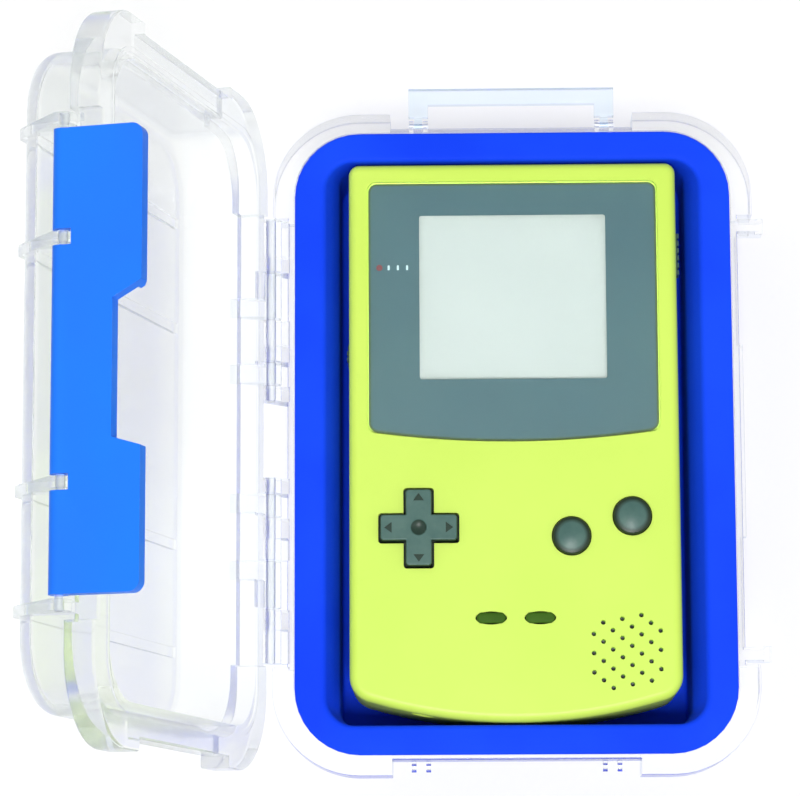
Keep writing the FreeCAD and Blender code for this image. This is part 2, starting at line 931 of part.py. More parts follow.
def make_bail_pins():
    """Short pin in each of the two lugs that carry the bail."""
    axis_y = rim_length / 2 + lug_reach
    starts = [Vector(side * lug_spacing / 2 - lug_width / 2, axis_y, lug_z) for side in (-1, 1)]
    return Part.makeCompound([rod(bail_pin_radius, start, ACROSS, lug_width) for start in starts])


def speaker_holes():
    """Slanted lattice of holes inside a round field."""
    reach = int(hole_field / hole_step_x) + 2
    holes = []
    for column in range(-reach, reach + 1):
        for row in range(-reach, reach + 1):
            x = -hole_first_x + column * hole_step_x
            y = -hole_first_y - column * hole_step_y + row * hole_pitch
            if math.hypot(x, y) < hole_field:
                holes.append(upright(hole_radius, speaker_x + x, speaker_y + y, inner_face - 1, face + 1))
    return holes


def make_front_shell():
    """Front half: face with screen bed, button and speaker holes, side walls, bosses and board posts."""
    block = game_block(0, split_z, face)
    rounding = min(game_front_round, game_top_corner * corner_share)
    block = block.makeFillet(rounding, level_edges(block, face))
    shell = block.cut(game_block(game_wall, split_z - 1, inner_face))
    ring_low = inner_face - speaker_ring_depth
    seat_radius = speaker_radius + speaker_fit
    middle = inner_face + game_face / 2
    ring = upright(seat_radius + speaker_ring, speaker_x, speaker_y, ring_low, middle)
    seat = upright(seat_radius, speaker_x, speaker_y, ring_low - 1, inner_face)
    room = game_block(game_wall / 2, split_z, face)
    bosses = [upright(boss_radius, p.x, p.y, split_z, middle).common(room) for p in boss_places]
    posts = [upright(board_post, p.x, p.y, board_z, inner_face + game_face / 4) for p in board_post_places]
    shell = joined(shell, ring.common(room), *bosses, *posts)
    lens_floor = face - lens_sink - lens_thick - lens_bed
    frame_half = window_half + window_frame
    frame_low = window_low_y - window_frame
    frame_top = window_top_y + window_frame
    pad_room = 2 * pad_hole_gap
    below = inner_face - 1
    above = face + 1
    through = [
        lens_block(0, lens_floor, above),
        box(-frame_half, frame_half, frame_low, frame_top, below, face),
        upright(lamp_radius + lens_fit, lamp_x, lamp_y, below, face),
        cross(pad_span + pad_room, pad_arm + pad_room, pad_corner, below, above),
        seat,
    ]
    for x, y in ((a_x, a_y), (b_x, b_y)):
        through.append(upright(button_radius + button_gap, x, y, below, above))
    for side in (-1, 1):
        gap = 2 * button_gap
        x = side * key_pitch / 2
        through.append(oval(key_length + gap, key_height + gap, x, key_y, below, above))
    screw_end = split_z + case_screw_bite + 1
    for p in boss_places:
        through.append(upright(case_screw_radius + thread_gap, p.x, p.y, split_z - 1, screw_end))
    screw_end = board_z + board_screw_bite + 1
    for p in board_post_places:
        through.append(upright(board_screw_radius + thread_gap, p.x, p.y, board_z - 1, screw_end))
    return shell.cut(through + speaker_holes() + side_openings())


def side_openings():
    """Holes in the front half's walls for the sockets, switch, wheel and infrared window."""
    out = game_wall + 1
    link_top = board_low_z - board_clear + port_gap
    link_half = link_length / 2 + port_gap
    wheel_reach = math.sqrt(wheel_radius**2 - (inner_half + wheel_x)**2) + wheel_gap
    neck = switch_neck / 2 + port_gap
    neck_z = switch_neck_height / 2 + port_gap
    window = infrared_length / 2 + port_gap
    tall = infrared_height / 2 + port_gap
    return [
        box(-half_width - 1, -half_width + out, link_y - link_half, link_y + link_half,
            link_top - link_height - 2 * port_gap, link_top),
        box(-half_width - 1, -half_width + out, wheel_y - wheel_reach, wheel_y + wheel_reach,
            split_z - 1, wheel_top + wheel_gap),
        box(half_width - out, half_width + 1, switch_y - neck, switch_y + neck + switch_travel,
            switch_z - neck_z, switch_z + neck_z),
        box(-window, window, top_y - out, top_y + 1, infrared_z - tall, infrared_z + tall),
        rod(jack_radius + port_gap, Vector(jack_x, low_y - 1, jack_z), ALONG, game_bow + out + 1),
        rod(dc_radius + port_gap, Vector(-half_width - 1, dc_y, jack_z), ACROSS, out + 1),
    ]


def make_rear_shell():
    """Back half: rounded tray with the battery bay, the cartridge slot and the screw tubes."""
    block = game_block(0, back, split_z)
    rounding = min(game_back_round, game_low_corner * corner_share)
    block = block.makeFillet(rounding, level_edges(block, back))
    shell = block.cut(game_block(game_wall, back_wall, split_z + 1))
    bay_x = bay_half_x + bay_wall
    bay_out = bay_half_y + bay_wall
    root = back_wall - game_wall / 2
    bay = box(-bay_x, bay_x, bay_y - bay_out, bay_y + bay_out, root, bay_top + bay_roof)
    sleeve_half = slot_half + slot_wall
    sleeve_end = top_y - game_wall / 2
    sleeve = box(-sleeve_half, sleeve_half, slot_low_y, sleeve_end, root, slot_top + slot_wall)
    bore = case_screw_head + counterbore_gap
    tubes = [upright(bore + tube_wall, p.x, p.y, root, split_z).common(block) for p in boss_places]
    shell = joined(shell, bay, sleeve, *tubes)
    below = back - 1
    window_y = top_y - slot_window_length
    cuts = [
        box(-bay_half_x, bay_half_x, bay_y - bay_half_y, bay_y + bay_half_y, below, bay_top),
        box(-slot_half, slot_half, slot_low_y - 1, top_y + 1, back_wall, slot_top),
        box(-slot_window_half, slot_window_half, window_y, top_y + 1, below, back_wall + 1),
    ]
    for p in boss_places:
        cuts.append(upright(case_screw_radius + screw_hole_gap, p.x, p.y, below, split_z + 1))
        cuts.append(upright(bore, p.x, p.y, below, back + case_screw_seat))
    return shell.cut(cuts)


def make_screen_lens():
    """Flat window plate with a bowed lower edge, in the bed in the face."""
    top = face - lens_sink
    return lens_block(lens_fit, top - lens_thick, top)


def display_stack():
    """Height where the display glass sits on its holder."""
    return inner_face - display_gap - display_thick


def display_box(z0, z1):
    """The display's footprint between two heights."""
    half = window_half + display_margin
    return box(-half, half, window_low_y - display_margin, window_top_y + display_margin, z0, z1)


def make_display_panel():
    """Display glass under the window."""
    return display_box(display_stack(), inner_face - display_gap)


def make_display_holder():
    """Frame that carries the display glass on the board."""
    half = window_half - display_margin
    near = window_low_y + display_margin
    far = window_top_y - display_margin
    window = box(-half, half, near, far, board_z + flex_thick, face)
    return display_box(board_z, display_stack()).cut(window)


def make_display_flex():
    """Ribbon from the display's lower edge down to the board."""
    edge = window_low_y - display_margin - display_gap
    high = inner_face - display_gap - flex_thick
    half = flex_width / 2
    upright = box(-half, half, edge - flex_thick, edge, board_z, high)
    foot = box(-half, half, edge - flex_foot, edge, board_z, board_z + flex_thick)
    return joined(upright, foot)


def make_d_pad():
    """Plus-shaped pad with a dished middle, sunk arrow marks, a round flange and a hub over its pivot."""
    top = face + pad_proud
    body = cross(pad_span, pad_arm, pad_corner, pad_flange_low, top)
    body = body.makeFillet(pad_corner / 2, level_edges(body, top))
    flange = upright(pad_flange, pad_x, pad_y, pad_flange_low, pad_flange_top)
    hub = upright(hub_radius, pad_x, pad_y, ball_z + ball_gap, pad_flange_top)
    dimple_z = top - pad_dimple_depth + pad_dimple_radius
    cuts = [
        Part.makeSphere(pad_dimple_radius, Vector(pad_x, pad_y, dimple_z)),
        Part.makeSphere(ball_radius + ball_gap, Vector(pad_x, pad_y, ball_z)),
    ]
    for quarter in range(4):
        angle = quarter * math.pi / 2
        out = Vector(math.cos(angle), math.sin(angle), 0)
        side = Vector(-out.y, out.x, 0)
        start = Vector(pad_x, pad_y, top - pad_mark_depth) + out * (pad_mark_out - pad_mark / 2)
        tip = start + out * pad_mark_length
        triangle = [start + side * pad_mark, tip, start - side * pad_mark, start + side * pad_mark]
        cuts.append(Part.Face(Part.makePolygon(triangle)).extrude(UP * (2 * pad_mark_depth)))
    return joined(body, flange, hub).cut(cuts)


def make_d_pad_pivot():
    """Ball on the board that the direction pad rocks on."""
    return Part.makeSphere(ball_radius, Vector(pad_x, pad_y, ball_z))


def make_round_button(x, y):
    """Crowned round button with a flange that holds it behind the face."""
    top = face + button_proud
    crown_radius = (button_radius**2 + button_crown**2) / (2 * button_crown)
    cap = upright(button_radius, x, y, button_flange_low, top)
    cap = cap.common(Part.makeSphere(crown_radius, Vector(x, y, top - crown_radius)))
    flange = upright(button_flange, x, y, button_flange_low, button_flange_top)
    return joined(cap, flange)


def make_key(side):
    """Oval key with a flange."""
    x = side * key_pitch / 2
    cap = oval(key_length, key_height, x, key_y, button_flange_low, face + key_proud)
    wide = 2 * key_flange
    flange = oval(key_length + wide, key_height + wide, x, key_y, button_flange_low, button_flange_top)
    return joined(cap, flange)


def dome(x, y, radius, top):
    """Tapered rubber dome from inside its sheet up to a height."""
    low = board_z + membrane_thick / 2
    return Part.makeCone(radius, radius * dome_taper, top - low, Vector(x, y, low), UP)


def make_d_pad_membrane():
    """Round rubber sheet with a dome under each arm and a hole for the hub."""
    sheet = upright(pad_flange, pad_x, pad_y, board_z, board_z + membrane_thick)
    domes = []
    for quarter in range(4):
        angle = quarter * math.pi / 2
        x = pad_x + pad_dome_out * math.cos(angle)
        y = pad_y + pad_dome_out * math.sin(angle)
        domes.append(dome(x, y, pad_dome_radius, pad_flange_low - pad_dome_gap))
    hole = upright(hub_radius + membrane_thick, pad_x, pad_y, board_z - 1, face)
    return joined(sheet, *domes).cut(hole)


def make_button_membrane():
    """Rubber sheet with a dome under each round button."""
    reach = button_dome + membrane_margin
    top = button_flange_low - button_travel - dome_gap
    places = ((a_x, a_y), (b_x, b_y))
    pads = [upright(reach, x, y, board_z, board_z + membrane_thick) for x, y in places]
    along = Vector(a_x - b_x, a_y - b_y, 0)
    across = Vector(-along.y, along.x, 0).normalize() * reach
    start = Vector(b_x, b_y, board_z)
    finish = Vector(a_x, a_y, board_z)
    corners = [start + across, finish + across, finish - across, start - across]
    link = Part.Face(Part.makePolygon(corners + corners[:1])).extrude(UP * membrane_thick)
    domes = [dome(x, y, button_dome, top) for x, y in places]
    return joined(link, *pads, *domes)


def make_key_membrane():
    """Rubber strip with a dome under each oval key."""
    half_x = key_pitch / 2 + key_length / 2
    half_y = key_height / 2 + membrane_margin
    strip = box(-half_x, half_x, key_y - half_y, key_y + half_y, board_z, board_z + membrane_thick)
    top = button_flange_low - key_travel - dome_gap
    domes = [dome(side * key_pitch / 2, key_y, key_dome, top) for side in (-1, 1)]
    return joined(strip, *domes)


def make_main_board():
    """Printed board that spans the game, cleared for the screw bosses."""
    half = inner_half - board_side_gap
    board = box(-half, half, low_y + board_low_margin, top_y - board_top_margin, board_low_z, board_z)
    holes = [(boss_radius, p) for p in boss_places] + [(board_screw_radius, p) for p in board_post_places]
    return board.cut([upright(r + screw_hole_gap, p.x, p.y, board_low_z - 1, board_z + 1) for r, p in holes])


def make_speaker():
    """Round speaker: rim behind the holes, basket and magnet."""
    top = inner_face
    rim_low = top - speaker_rim
    basket_low = rim_low - speaker_basket_depth
    rim = upright(speaker_radius, speaker_x, speaker_y, rim_low, top)
    start = Vector(speaker_x, speaker_y, basket_low)
    basket = Part.makeCone(speaker_magnet, speaker_basket, speaker_basket_depth, start, UP)
    magnet = upright(speaker_magnet, speaker_x, speaker_y, basket_low - speaker_magnet_depth, basket_low)
    return joined(rim, basket, magnet)


def make_battery_cover():
    """Flat cover in the back, with a sunk finger grip."""
    half_x = bay_half_x - cover_fit
    half_y = bay_half_y - cover_fit
    cover = box(-half_x, half_x, bay_y - half_y, bay_y + half_y, back, back_wall)
    grip_y = bay_y + half_y - cover_grip_radius / 2
    grip = Part.makeSphere(cover_grip_radius, Vector(0, grip_y, back + cover_grip_depth - cover_grip_radius))
    return cover.cut(grip)


def cell_rows():
    """The two cells, as (row, way that the raised end points)."""
    return [(bay_y - cell_pitch / 2, 1), (bay_y + cell_pitch / 2, -1)]


def make_battery_cells():
    """Two cells side by side, one each way round."""
    cells = []
    for y, way in cell_rows():
        body_length = cell_length - cell_nub
        start = Vector(-way * cell_length / 2, y, cell_z)
        body = rod(cell_radius, start, ACROSS * way, body_length)
        nub = rod(cell_nub_radius, start, ACROSS * way, cell_length)
        cells.append(joined(body, nub))
    return Part.makeCompound(cells)


def make_battery_contacts():
    """Sprung plates at the ends of the bay: one bridge and two single plates."""
    face_x = cell_length / 2 + contact_gap
    plate_x = bay_half_x - contact_gap - contact_thick
    spring = plate_x - face_x
    half = cell_radius - contact_gap
    row_half = cell_pitch / 2 + half
    low = cell_z - half
    high = cell_z + half
    bridge = box(-plate_x - contact_thick, -plate_x, bay_y - row_half, bay_y + row_half, low, high)
    coils = [rod(spring_radius, Vector(-plate_x, y, cell_z), ACROSS, spring) for y, _ in cell_rows()]
    contacts = [joined(bridge, *coils)]
    for y, _ in cell_rows():
        plate = box(plate_x, plate_x + contact_thick, y - half, y + half, low, high)
        coil = rod(spring_radius, Vector(face_x, y, cell_z), ACROSS, spring)
        contacts.append(joined(plate, coil))
    return Part.makeCompound(contacts)


def make_cartridge():
    """Flat game cartridge in its slot, with grip grooves near its outer end."""
    half = slot_half - slot_fit
    low = back_wall + slot_fit
    high = slot_top - slot_fit
    cartridge = box(-half, half, slot_low_y + slot_fit, top_y - slot_fit, low, high)
    wide = slot_window_half
    grooves = []
    for count in range(grip_grooves):
        y = top_y - grip_inset - count * grip_pitch
        grooves.append(box(-wide, wide, y - grip_groove, y, low - 1, low + grip_depth))
    return cartridge.cut(grooves)


def make_cartridge_connector():
    """Socket block under the board, facing the cartridge's inner end."""
    high = slot_low_y - slot_fit
    low_z = back_wall + connector_lift
    block = box(-connector_half, connector_half, connector_low_y, high, low_z, board_low_z)
    middle = (back_wall + slot_top) / 2
    mouth_half = connector_half - slot_wall
    mouth_low = high - connector_length / 2
    mouth = box(-mouth_half, mouth_half, mouth_low, high + 1, middle - slot_wall, middle + slot_wall)
    return block.cut(mouth)


def make_link_port():
    """Socket for a cable in the left wall, under the board."""
    top = board_low_z - board_clear
    outer = -half_width + wall_flush
    half = link_length / 2
    block = box(outer, outer + link_block, link_y - half, link_y + half, top - link_height, top)
    mouth = box(outer - 1, outer + link_mouth, link_y - half + link_rim, link_y + half - link_rim,
                top - link_height + link_rim, top - link_rim)
    return block.cut(mouth)


def make_power_switch():
    """Sliding knob in the right wall: ridged plate outside, neck through the slot, flange inside."""
    plate_x = half_width + switch_plate_gap
    half = switch_plate / 2
    tall = switch_plate_height / 2
    outer_x = plate_x + switch_plate_thick
    plate = box(plate_x, outer_x, switch_y - half, switch_y + half, switch_z - tall, switch_z + tall)
    neck_half = switch_neck / 2
    neck_tall = switch_neck_height / 2
    inner_x = inner_half - switch_plate_gap
    neck = box(inner_x - switch_plate_thick / 2, plate_x + switch_plate_thick / 2,
               switch_y - neck_half, switch_y + neck_half, switch_z - neck_tall, switch_z + neck_tall)
    flange_tall = switch_drop - board_clear
    flange = box(inner_x - switch_plate_thick, inner_x, switch_y - half, switch_y + half,
                 switch_z - flange_tall, switch_z + flange_tall)
    cuts = []
    for count in range(switch_ridges):
        y = switch_y + (count - (switch_ridges - 1) / 2) * switch_ridge_pitch
        half = switch_ridge / 2
        cuts.append(box(outer_x - switch_ridge_depth, outer_x + 1, y - half, y + half,
                        switch_z - tall - 1, switch_z + tall + 1))
    return joined(plate, neck, flange).cut(cuts)


def make_switch_body():
    """Fixed slide switch under the board, behind the knob."""
    outer = inner_half - 2 * switch_plate_gap - switch_plate_thick
    half = switch_plate / 2
    top = board_low_z
    bottom = top - 2 * switch_drop
    return box(outer - switch_body_depth, outer, switch_y - half, switch_y + half, bottom, top)


def make_volume_wheel():
    """Edge wheel with a notched rim, showing through the left wall."""
    wheel = upright(wheel_radius, wheel_x, wheel_y, wheel_bottom, wheel_top)
    below = wheel_bottom - 1
    above = wheel_top + 1
    cuts = [upright(pot_shaft_radius + pin_run, wheel_x, wheel_y, below, above)]
    for count in range(wheel_notches):
        angle = 2 * math.pi * count / wheel_notches
        x = wheel_x + wheel_radius * math.cos(angle)
        y = wheel_y + wheel_radius * math.sin(angle)
        cuts.append(upright(wheel_notch_radius, x, y, below, above))
    return wheel.cut(cuts)


def make_volume_pot():
    """Rotary control under the board, with the shaft that carries the wheel."""
    body = upright(pot_radius, wheel_x, wheel_y, pot_low, board_low_z)
    tail = wheel_bottom - pot_shaft_tail
    shaft = upright(pot_shaft_radius, wheel_x, wheel_y, tail, pot_low + pot_height / 2)
    return joined(body, shaft)


def make_headphone_jack():
    """Round socket in the bottom edge, with its block on the board."""
    middle = Vector(jack_x, 0, jack_z)
    bow_radius = (half_width**2 + game_bow**2) / (2 * game_bow)
    edge_y = low_y + bow_radius - math.sqrt(bow_radius**2 - jack_x**2)
    inner_y = edge_y + 2 * game_wall
    half = jack_width / 2
    tall = jack_height / 2
    block = box(jack_x - half, jack_x + half, inner_y, inner_y + jack_block, jack_z - tall, jack_z + tall)
    mouth_y = edge_y + game_wall / 2
    barrel = rod(jack_radius, Vector(middle.x, mouth_y, jack_z), ALONG, inner_y - mouth_y + tall)
    bore = rod(jack_bore, Vector(middle.x, mouth_y - 1, jack_z), ALONG, jack_bore_depth + 1)
    return joined(block, barrel).cut(bore)


def make_dc_jack():
    """Round power socket in the left wall, with its block on the board."""
    mouth_x = -half_width + game_wall / 4
    block_x = -inner_half + game_wall / 4
    half = dc_width / 2
    tall = jack_height / 2
    block = box(block_x, block_x + dc_block, dc_y - half, dc_y + half, jack_z - tall, jack_z + tall)
    barrel = rod(dc_radius, Vector(mouth_x, dc_y, jack_z), ACROSS, block_x - mouth_x + half)
    bore = rod(dc_bore, Vector(mouth_x - 1, dc_y, jack_z), ACROSS, jack_bore_depth + 1)
    return joined(block, barrel).cut(bore)


def make_infrared_window():
    """Dark window in the top wall."""
    half = infrared_length / 2
    tall = infrared_height / 2
    low = top_y - game_wall - infrared_back
    return box(-half, half, low, top_y - wall_flush, infrared_z - tall, infrared_z + tall)


def make_power_lamp():
    """Indicator lamp under the lens, on its spacer on the board."""
    top = face - lens_sink - lens_thick - 2 * lens_bed
    lamp = upright(lamp_radius, lamp_x, lamp_y, board_z, top)
    spacer = upright(lamp_base_radius, lamp_x, lamp_y, board_z, board_z + lamp_base)
    return joined(lamp, spacer)


def make_case_screws():
    """Screws from the back that hold the two halves together."""
    seat = back + case_screw_seat
    low = seat - case_screw_head_thick
    end = split_z + case_screw_bite
    screws = []
    for p in boss_places:
        head = upright(case_screw_head, p.x, p.y, low, seat)
        screws.append(joined(head, upright(case_screw_radius, p.x, p.y, low, end)))
    return Part.makeCompound(screws)


def make_board_screws():
    """Screws under the board that hold it to the front half's posts."""
    low = board_low_z - board_screw_head_thick
    end = board_z + board_screw_bite
    screws = []
    for p in board_post_places:
        head = upright(board_screw_head, p.x, p.y, low, board_low_z)
        screws.append(joined(head, upright(board_screw_radius, p.x, p.y, low, end)))
    return Part.makeCompound(screws)


def opened(shape):
    """A lid piece turned from shut to its open stop about the hinge."""
    turned = shape.copy()
    turned.rotate(Vector(hinge_x, 0, hinge_z), ALONG, -lid_open_angle)
    return turned


pieces = {
    "base_shell": make_base_shell(),
    "lid_shell": opened(make_lid_shell()),
    "hinge_pin_upper": make_hinge_pin(1),
    "hinge_pin_lower": make_hinge_pin(-1),
    "latch": opened(make_latch()),
    "latch_pin": opened(make_latch_pin()),
    "liner": make_liner(),
    "bail_handle": make_bail_handle(),
    "bail_pins": make_bail_pins(),
    "front_shell": make_front_shell(),
    "rear_shell": make_rear_shell(),
    "screen_lens": make_screen_lens(),
    "display_panel": make_display_panel(),
    "display_holder": make_display_holder(),
    "display_flex": make_display_flex(),
    "d_pad": make_d_pad(),
    "d_pad_pivot": make_d_pad_pivot(),
    "a_button": make_round_button(a_x, a_y),
    "b_button": make_round_button(b_x, b_y),
    "start_button": make_key(1),
    "select_button": make_key(-1),
    "d_pad_membrane": make_d_pad_membrane(),
    "button_membrane": make_button_membrane(),
    "key_membrane": make_key_membrane(),
    "main_board": make_main_board(),
    "speaker": make_speaker(),
    "battery_cover": make_battery_cover(),
    "battery_cells": make_battery_cells(),
    "battery_contacts": make_battery_contacts(),
    "cartridge": make_cartridge(),
    "cartridge_connector": make_cartridge_connector(),
    "link_port": make_link_port(),
    "power_switch": make_power_switch(),
    "switch_body": make_switch_body(),
    "volume_wheel": make_volume_wheel(),
    "volume_pot": make_volume_pot(),
    "headphone_jack": make_headphone_jack(),
    "dc_jack": make_dc_jack(),
    "infrared_window": make_infrared_window(),
    "power_lamp": make_power_lamp(),
    "case_screws": make_case_screws(),
    "board_screws": make_board_screws(),
}

os.makedirs("parts", exist_ok=True)
for node, shape in pieces.items():
    shape.exportStep(f"parts/{node}.step")
    solids = len(shape.Solids)
    print(f"{node}: {solids} solid(s), {shape.Volume:.1f} mm3, valid {shape.isValid()}")
print(f"hinge axis x {hinge_x:.2f} z {hinge_z:.2f}")
print(f"rim {rim_width:.1f} x {rim_length:.1f}, height {base_height:.1f}")
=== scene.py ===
import json
import math

import bmesh
import bpy
import numpy as np
from mathutils import Matrix, Vector

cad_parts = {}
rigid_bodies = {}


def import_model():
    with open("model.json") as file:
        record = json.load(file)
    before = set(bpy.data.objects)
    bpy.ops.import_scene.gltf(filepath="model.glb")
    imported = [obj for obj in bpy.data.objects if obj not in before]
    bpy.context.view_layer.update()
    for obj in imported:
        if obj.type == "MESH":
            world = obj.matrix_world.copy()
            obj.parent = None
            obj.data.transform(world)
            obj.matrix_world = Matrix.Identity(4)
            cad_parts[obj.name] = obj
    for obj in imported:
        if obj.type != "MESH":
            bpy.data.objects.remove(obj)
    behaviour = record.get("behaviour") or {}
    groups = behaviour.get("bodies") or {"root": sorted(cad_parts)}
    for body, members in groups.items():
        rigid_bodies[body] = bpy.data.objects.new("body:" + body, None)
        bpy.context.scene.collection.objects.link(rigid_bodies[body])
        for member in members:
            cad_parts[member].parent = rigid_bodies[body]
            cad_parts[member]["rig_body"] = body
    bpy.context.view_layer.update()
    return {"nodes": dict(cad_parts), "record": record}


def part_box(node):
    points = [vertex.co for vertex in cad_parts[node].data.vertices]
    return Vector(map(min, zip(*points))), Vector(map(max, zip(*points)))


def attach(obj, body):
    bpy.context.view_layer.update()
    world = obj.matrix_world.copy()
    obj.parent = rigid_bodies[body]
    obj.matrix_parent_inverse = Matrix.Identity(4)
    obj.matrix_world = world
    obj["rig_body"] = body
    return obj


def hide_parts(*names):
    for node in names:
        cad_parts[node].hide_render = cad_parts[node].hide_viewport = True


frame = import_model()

# Looks of a hand-held game in its clear hinged case: finishes, printed pieces, studio and camera.
# Lengths are metres in the frame's own axes; MM turns a size in millimetres into metres.

MM = 0.001
scene = bpy.context.scene
nodes = frame["nodes"]

# Printed plate behind the screen, and a dark band of painted shade along the lens's edge
LENS_CORNER = 2.2 * MM
LENS_BOW = 2.5 * MM
WINDOW_SIDE = 12.25 * MM
WINDOW_TOP = 8.0 * MM
WINDOW_LOW = 15.05 * MM
WINDOW_CORNER = 0.6 * MM
PRINT_INSET = 0.15 * MM
PRINT_LIFT = 0.02 * MM
PRINT_THICK = 0.03 * MM
# Width of the dark band of painted shade that stands for the gap round the lens
GAP_SHADE_WIDTH = 0.5 * MM
MARK_LIFT = 0.006 * MM
MARK_THICK = 0.008 * MM
LAMP_WINDOW = 0.75 * MM
TICK_SIZE = (0.5 * MM, 1.15 * MM)
TICK_CORNER = 0.1 * MM
TICK_STEP = 2.2 * MM
TICKS = 3

# Soft tray in the base: half width, half length and corner radius of its outlines
TRAY_BODY = (46.75 * MM, 69.35 * MM, 9.0 * MM)
TRAY_FLANGE = (51.85 * MM, 74.25 * MM, 15.5 * MM)
TRAY_MOUTH = (44.75 * MM, 67.35 * MM, 7.0 * MM)
TRAY_FOOT = (41.4 * MM, 67.15 * MM, 4.0 * MM)
TRAY_FLANGE_THICK = 1.5 * MM
TRAY_FLOOR_THICK = 1.5 * MM
TRAY_LEAD_DEPTH = 8.0 * MM
TRAY_BOTTOM_ROUND = 1.5 * MM
TRAY_EDGE_ROUND = 0.45 * MM
TRAY_LIP_ROUND = 1.3 * MM
TRAY_FOOT_ROUND = 0.8 * MM

# Rounded edges of the latch and the bail: the widths of their bevels. Points closer than MERGE
# become one, and faces that meet flatter than FLAT_ANGLE are rejoined.
LATCH_ROUND = 0.55 * MM
BAIL_ROUND = 0.7 * MM
MERGE = 0.001 * MM
FLAT_ANGLE = math.radians(0.5)
SHARP_ANGLE = math.radians(40)

# Buttons and keys. CROWN_SHARES are the sizes of a crown's rings, as shares of its outer radius. The dark
# rim is painted shade, standing for the gap round a button or key. It takes whole rings up to a piece's wall
# and fades out over RIM_FADE rings more.
FLANGE_PLATE = 1.0 * MM
BUTTON_FLANGE = 1.35 * MM
BUTTON_CROWN = 0.7 * MM
BUTTON_EDGE = 0.55 * MM
CROWN_SHARES = np.linspace(0.88, 0.08, 8)
KEY_FLANGE = 1.0 * MM
KEY_DOME = 0.55 * MM
KEY_DOME_SIDE = 0.8 * MM
KEY_WALL_RINGS = 4
RIM_FADE = 2.0

# Depths below the pad's top between which painted shade darkens its sunk marks and edges
PAD_SHADE_DEPTHS = (0.08 * MM, 0.2 * MM)

# Steps of the curves
ROUND_STEPS = 6
DOME_STEPS = 8
BEND_STEPS = 7
BEVEL_STEPS = 3
CIRCLE_STEPS = 64
SPOT_STEPS = 24

# Moulded skin: the parts of the noise's range over which its tones and its polish change
TONE_SPREAD = (0.32, 0.68)
POLISH_SPREAD = (0.3, 0.7)

# Clear pieces: scales of their tones and flow waves, per metre, and the most walls that light may pass.
# STRAIGHT_OUT is the share of the light that leaves a wall without a turn where it meets the wall
# flatter than GLANCING, which runs from 0, square to the wall, to 1, along it.
FLOW_TONES = 18.0
FLOW_WAVES = 60.0
CLEAR_BOUNCES = 24
STRAIGHT_OUT = 0.6
GLANCING = (0.4, 0.5)
# Power on the facing share that sets how fast the painted edge shade of clear pieces comes in
EDGE_SHADE_POWER = 4.0

# Camera, from the photo's frame of 800 by 796 pixels
PICTURE_WIDTH = 800
SENSOR_WIDTH = 36.0
CAMERA_PLACE = (-11.16 * MM, -129.33 * MM, 855.06 * MM)
CAMERA_YAW = -0.0191
CAMERA_PITCH = 0.1675
CAMERA_ROLL = -0.004
CAMERA_FOCAL_PIXELS = 3531.6
CAMERA_REACH = 50.0

# Studio: floor, room and lamps. A lamp has a name, a place, a size and a power in watts.
FLOOR_HALF = 3.0
FLOOR_DROP = 0.2 * MM
FLOOR_COLOUR = (0.85, 0.85, 0.86, 1)
SHADED_COLOUR = (0.42, 0.42, 0.42, 1)
FLOOR_GLOW = 0.6
WHITE = (1, 1, 1, 1)
WALL_COLOUR = (0.5, 0.52, 0.57, 1)
CEILING_COLOUR = (0.95, 0.95, 0.95, 1)
CEILING_START = 0.55
ROOM_STRENGTH = 0.45
LAMP_AIM = (0, 0, 0.02)
LAMPS = (
    ("left lamp", (-1.2, 0.9, 1.3), 1.0, 4.0),
    ("right lamp", (1.2, -0.4, 1.2), 1.0, 3.5),
    ("front lamp", (-0.02, -0.45, 1.3), 0.35, 10.5),
)


# Meshes

def show_mesh(name, mesh):
    """New object at the origin that shows a mesh."""
    piece = bpy.data.objects.new(name, mesh)
    scene.collection.objects.link(piece)
    return piece


def mesh_object(name, points, faces):
    """One object at the origin from an array of points and a list of faces."""
    mesh = bpy.data.meshes.new(name)
    mesh.from_pydata(points.tolist(), [], faces)
    mesh.validate()
    return show_mesh(name, mesh)


def shade_round(mesh):
    """Smooth shading over all edges but those that turn by more than SHARP_ANGLE."""
    mesh.shade_smooth()
    mesh.set_sharp_from_angle(angle=SHARP_ANGLE)


def ring_faces(rings, around, joins):
    """Quads from each ring to the next one; with as many joins as rings, the last ring joins the first."""
    ring, step = np.meshgrid(np.arange(joins), np.arange(around), indexing="ij")
    next_ring = (ring + 1) % rings
    next_step = (step + 1) % around
    corners = [ring * around + step, ring * around + next_step]
    corners += [next_ring * around + next_step, next_ring * around + step]
    return np.stack(corners, axis=-1).reshape(-1, 4).tolist()


def ring_points(rings):
    """Points of a run of rings, each an outline of (x, y) points and its height."""
    return np.concatenate([np.column_stack([outline, np.full(len(outline), z)]) for outline, z in rings])


def lofted(name, rings):
    """Closed solid through a run of rings: quads between them, and a flat face on the first and last one."""
    around = len(rings[0][0])
    bottom = np.arange(around)[::-1].tolist()
    top = (np.arange(around) + (len(rings) - 1) * around).tolist()
    faces = ring_faces(len(rings), around, len(rings) - 1) + [bottom, top]
    piece = mesh_object(name, ring_points(rings), faces)
    shade_round(piece.data)
    return piece


def stand_for(piece, node, finish=None):
    """Show a piece in place of a CAD node: it rides on the node's body, and the node is hidden.

    If no finish is given, it takes the finish of the node's material slot.
    """
    part = next(part for part in frame["record"]["subparts"] if part["node"] == node)
    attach(piece, nodes[node]["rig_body"])
    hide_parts(node)
    piece.data.materials.append(finish or finishes[part["material_slot"]])


def middle(low, high):
    """Middle of a box across x and y, as an array."""
    return np.array([low.x + high.x, low.y + high.y]) / 2


def quarter_round(across, height, steps=ROUND_STEPS):
    """Pairs of inset and drop along a quarter of an ellipse, from (0, height) to (across, 0).

    The inset is across times (1 - cos), and the drop is height times (1 - sin), of an even run of angles.
    """
    turn = np.linspace(0, math.pi / 2, steps)
    return list(zip(across * (1 - np.cos(turn)), height * (1 - np.sin(turn))))


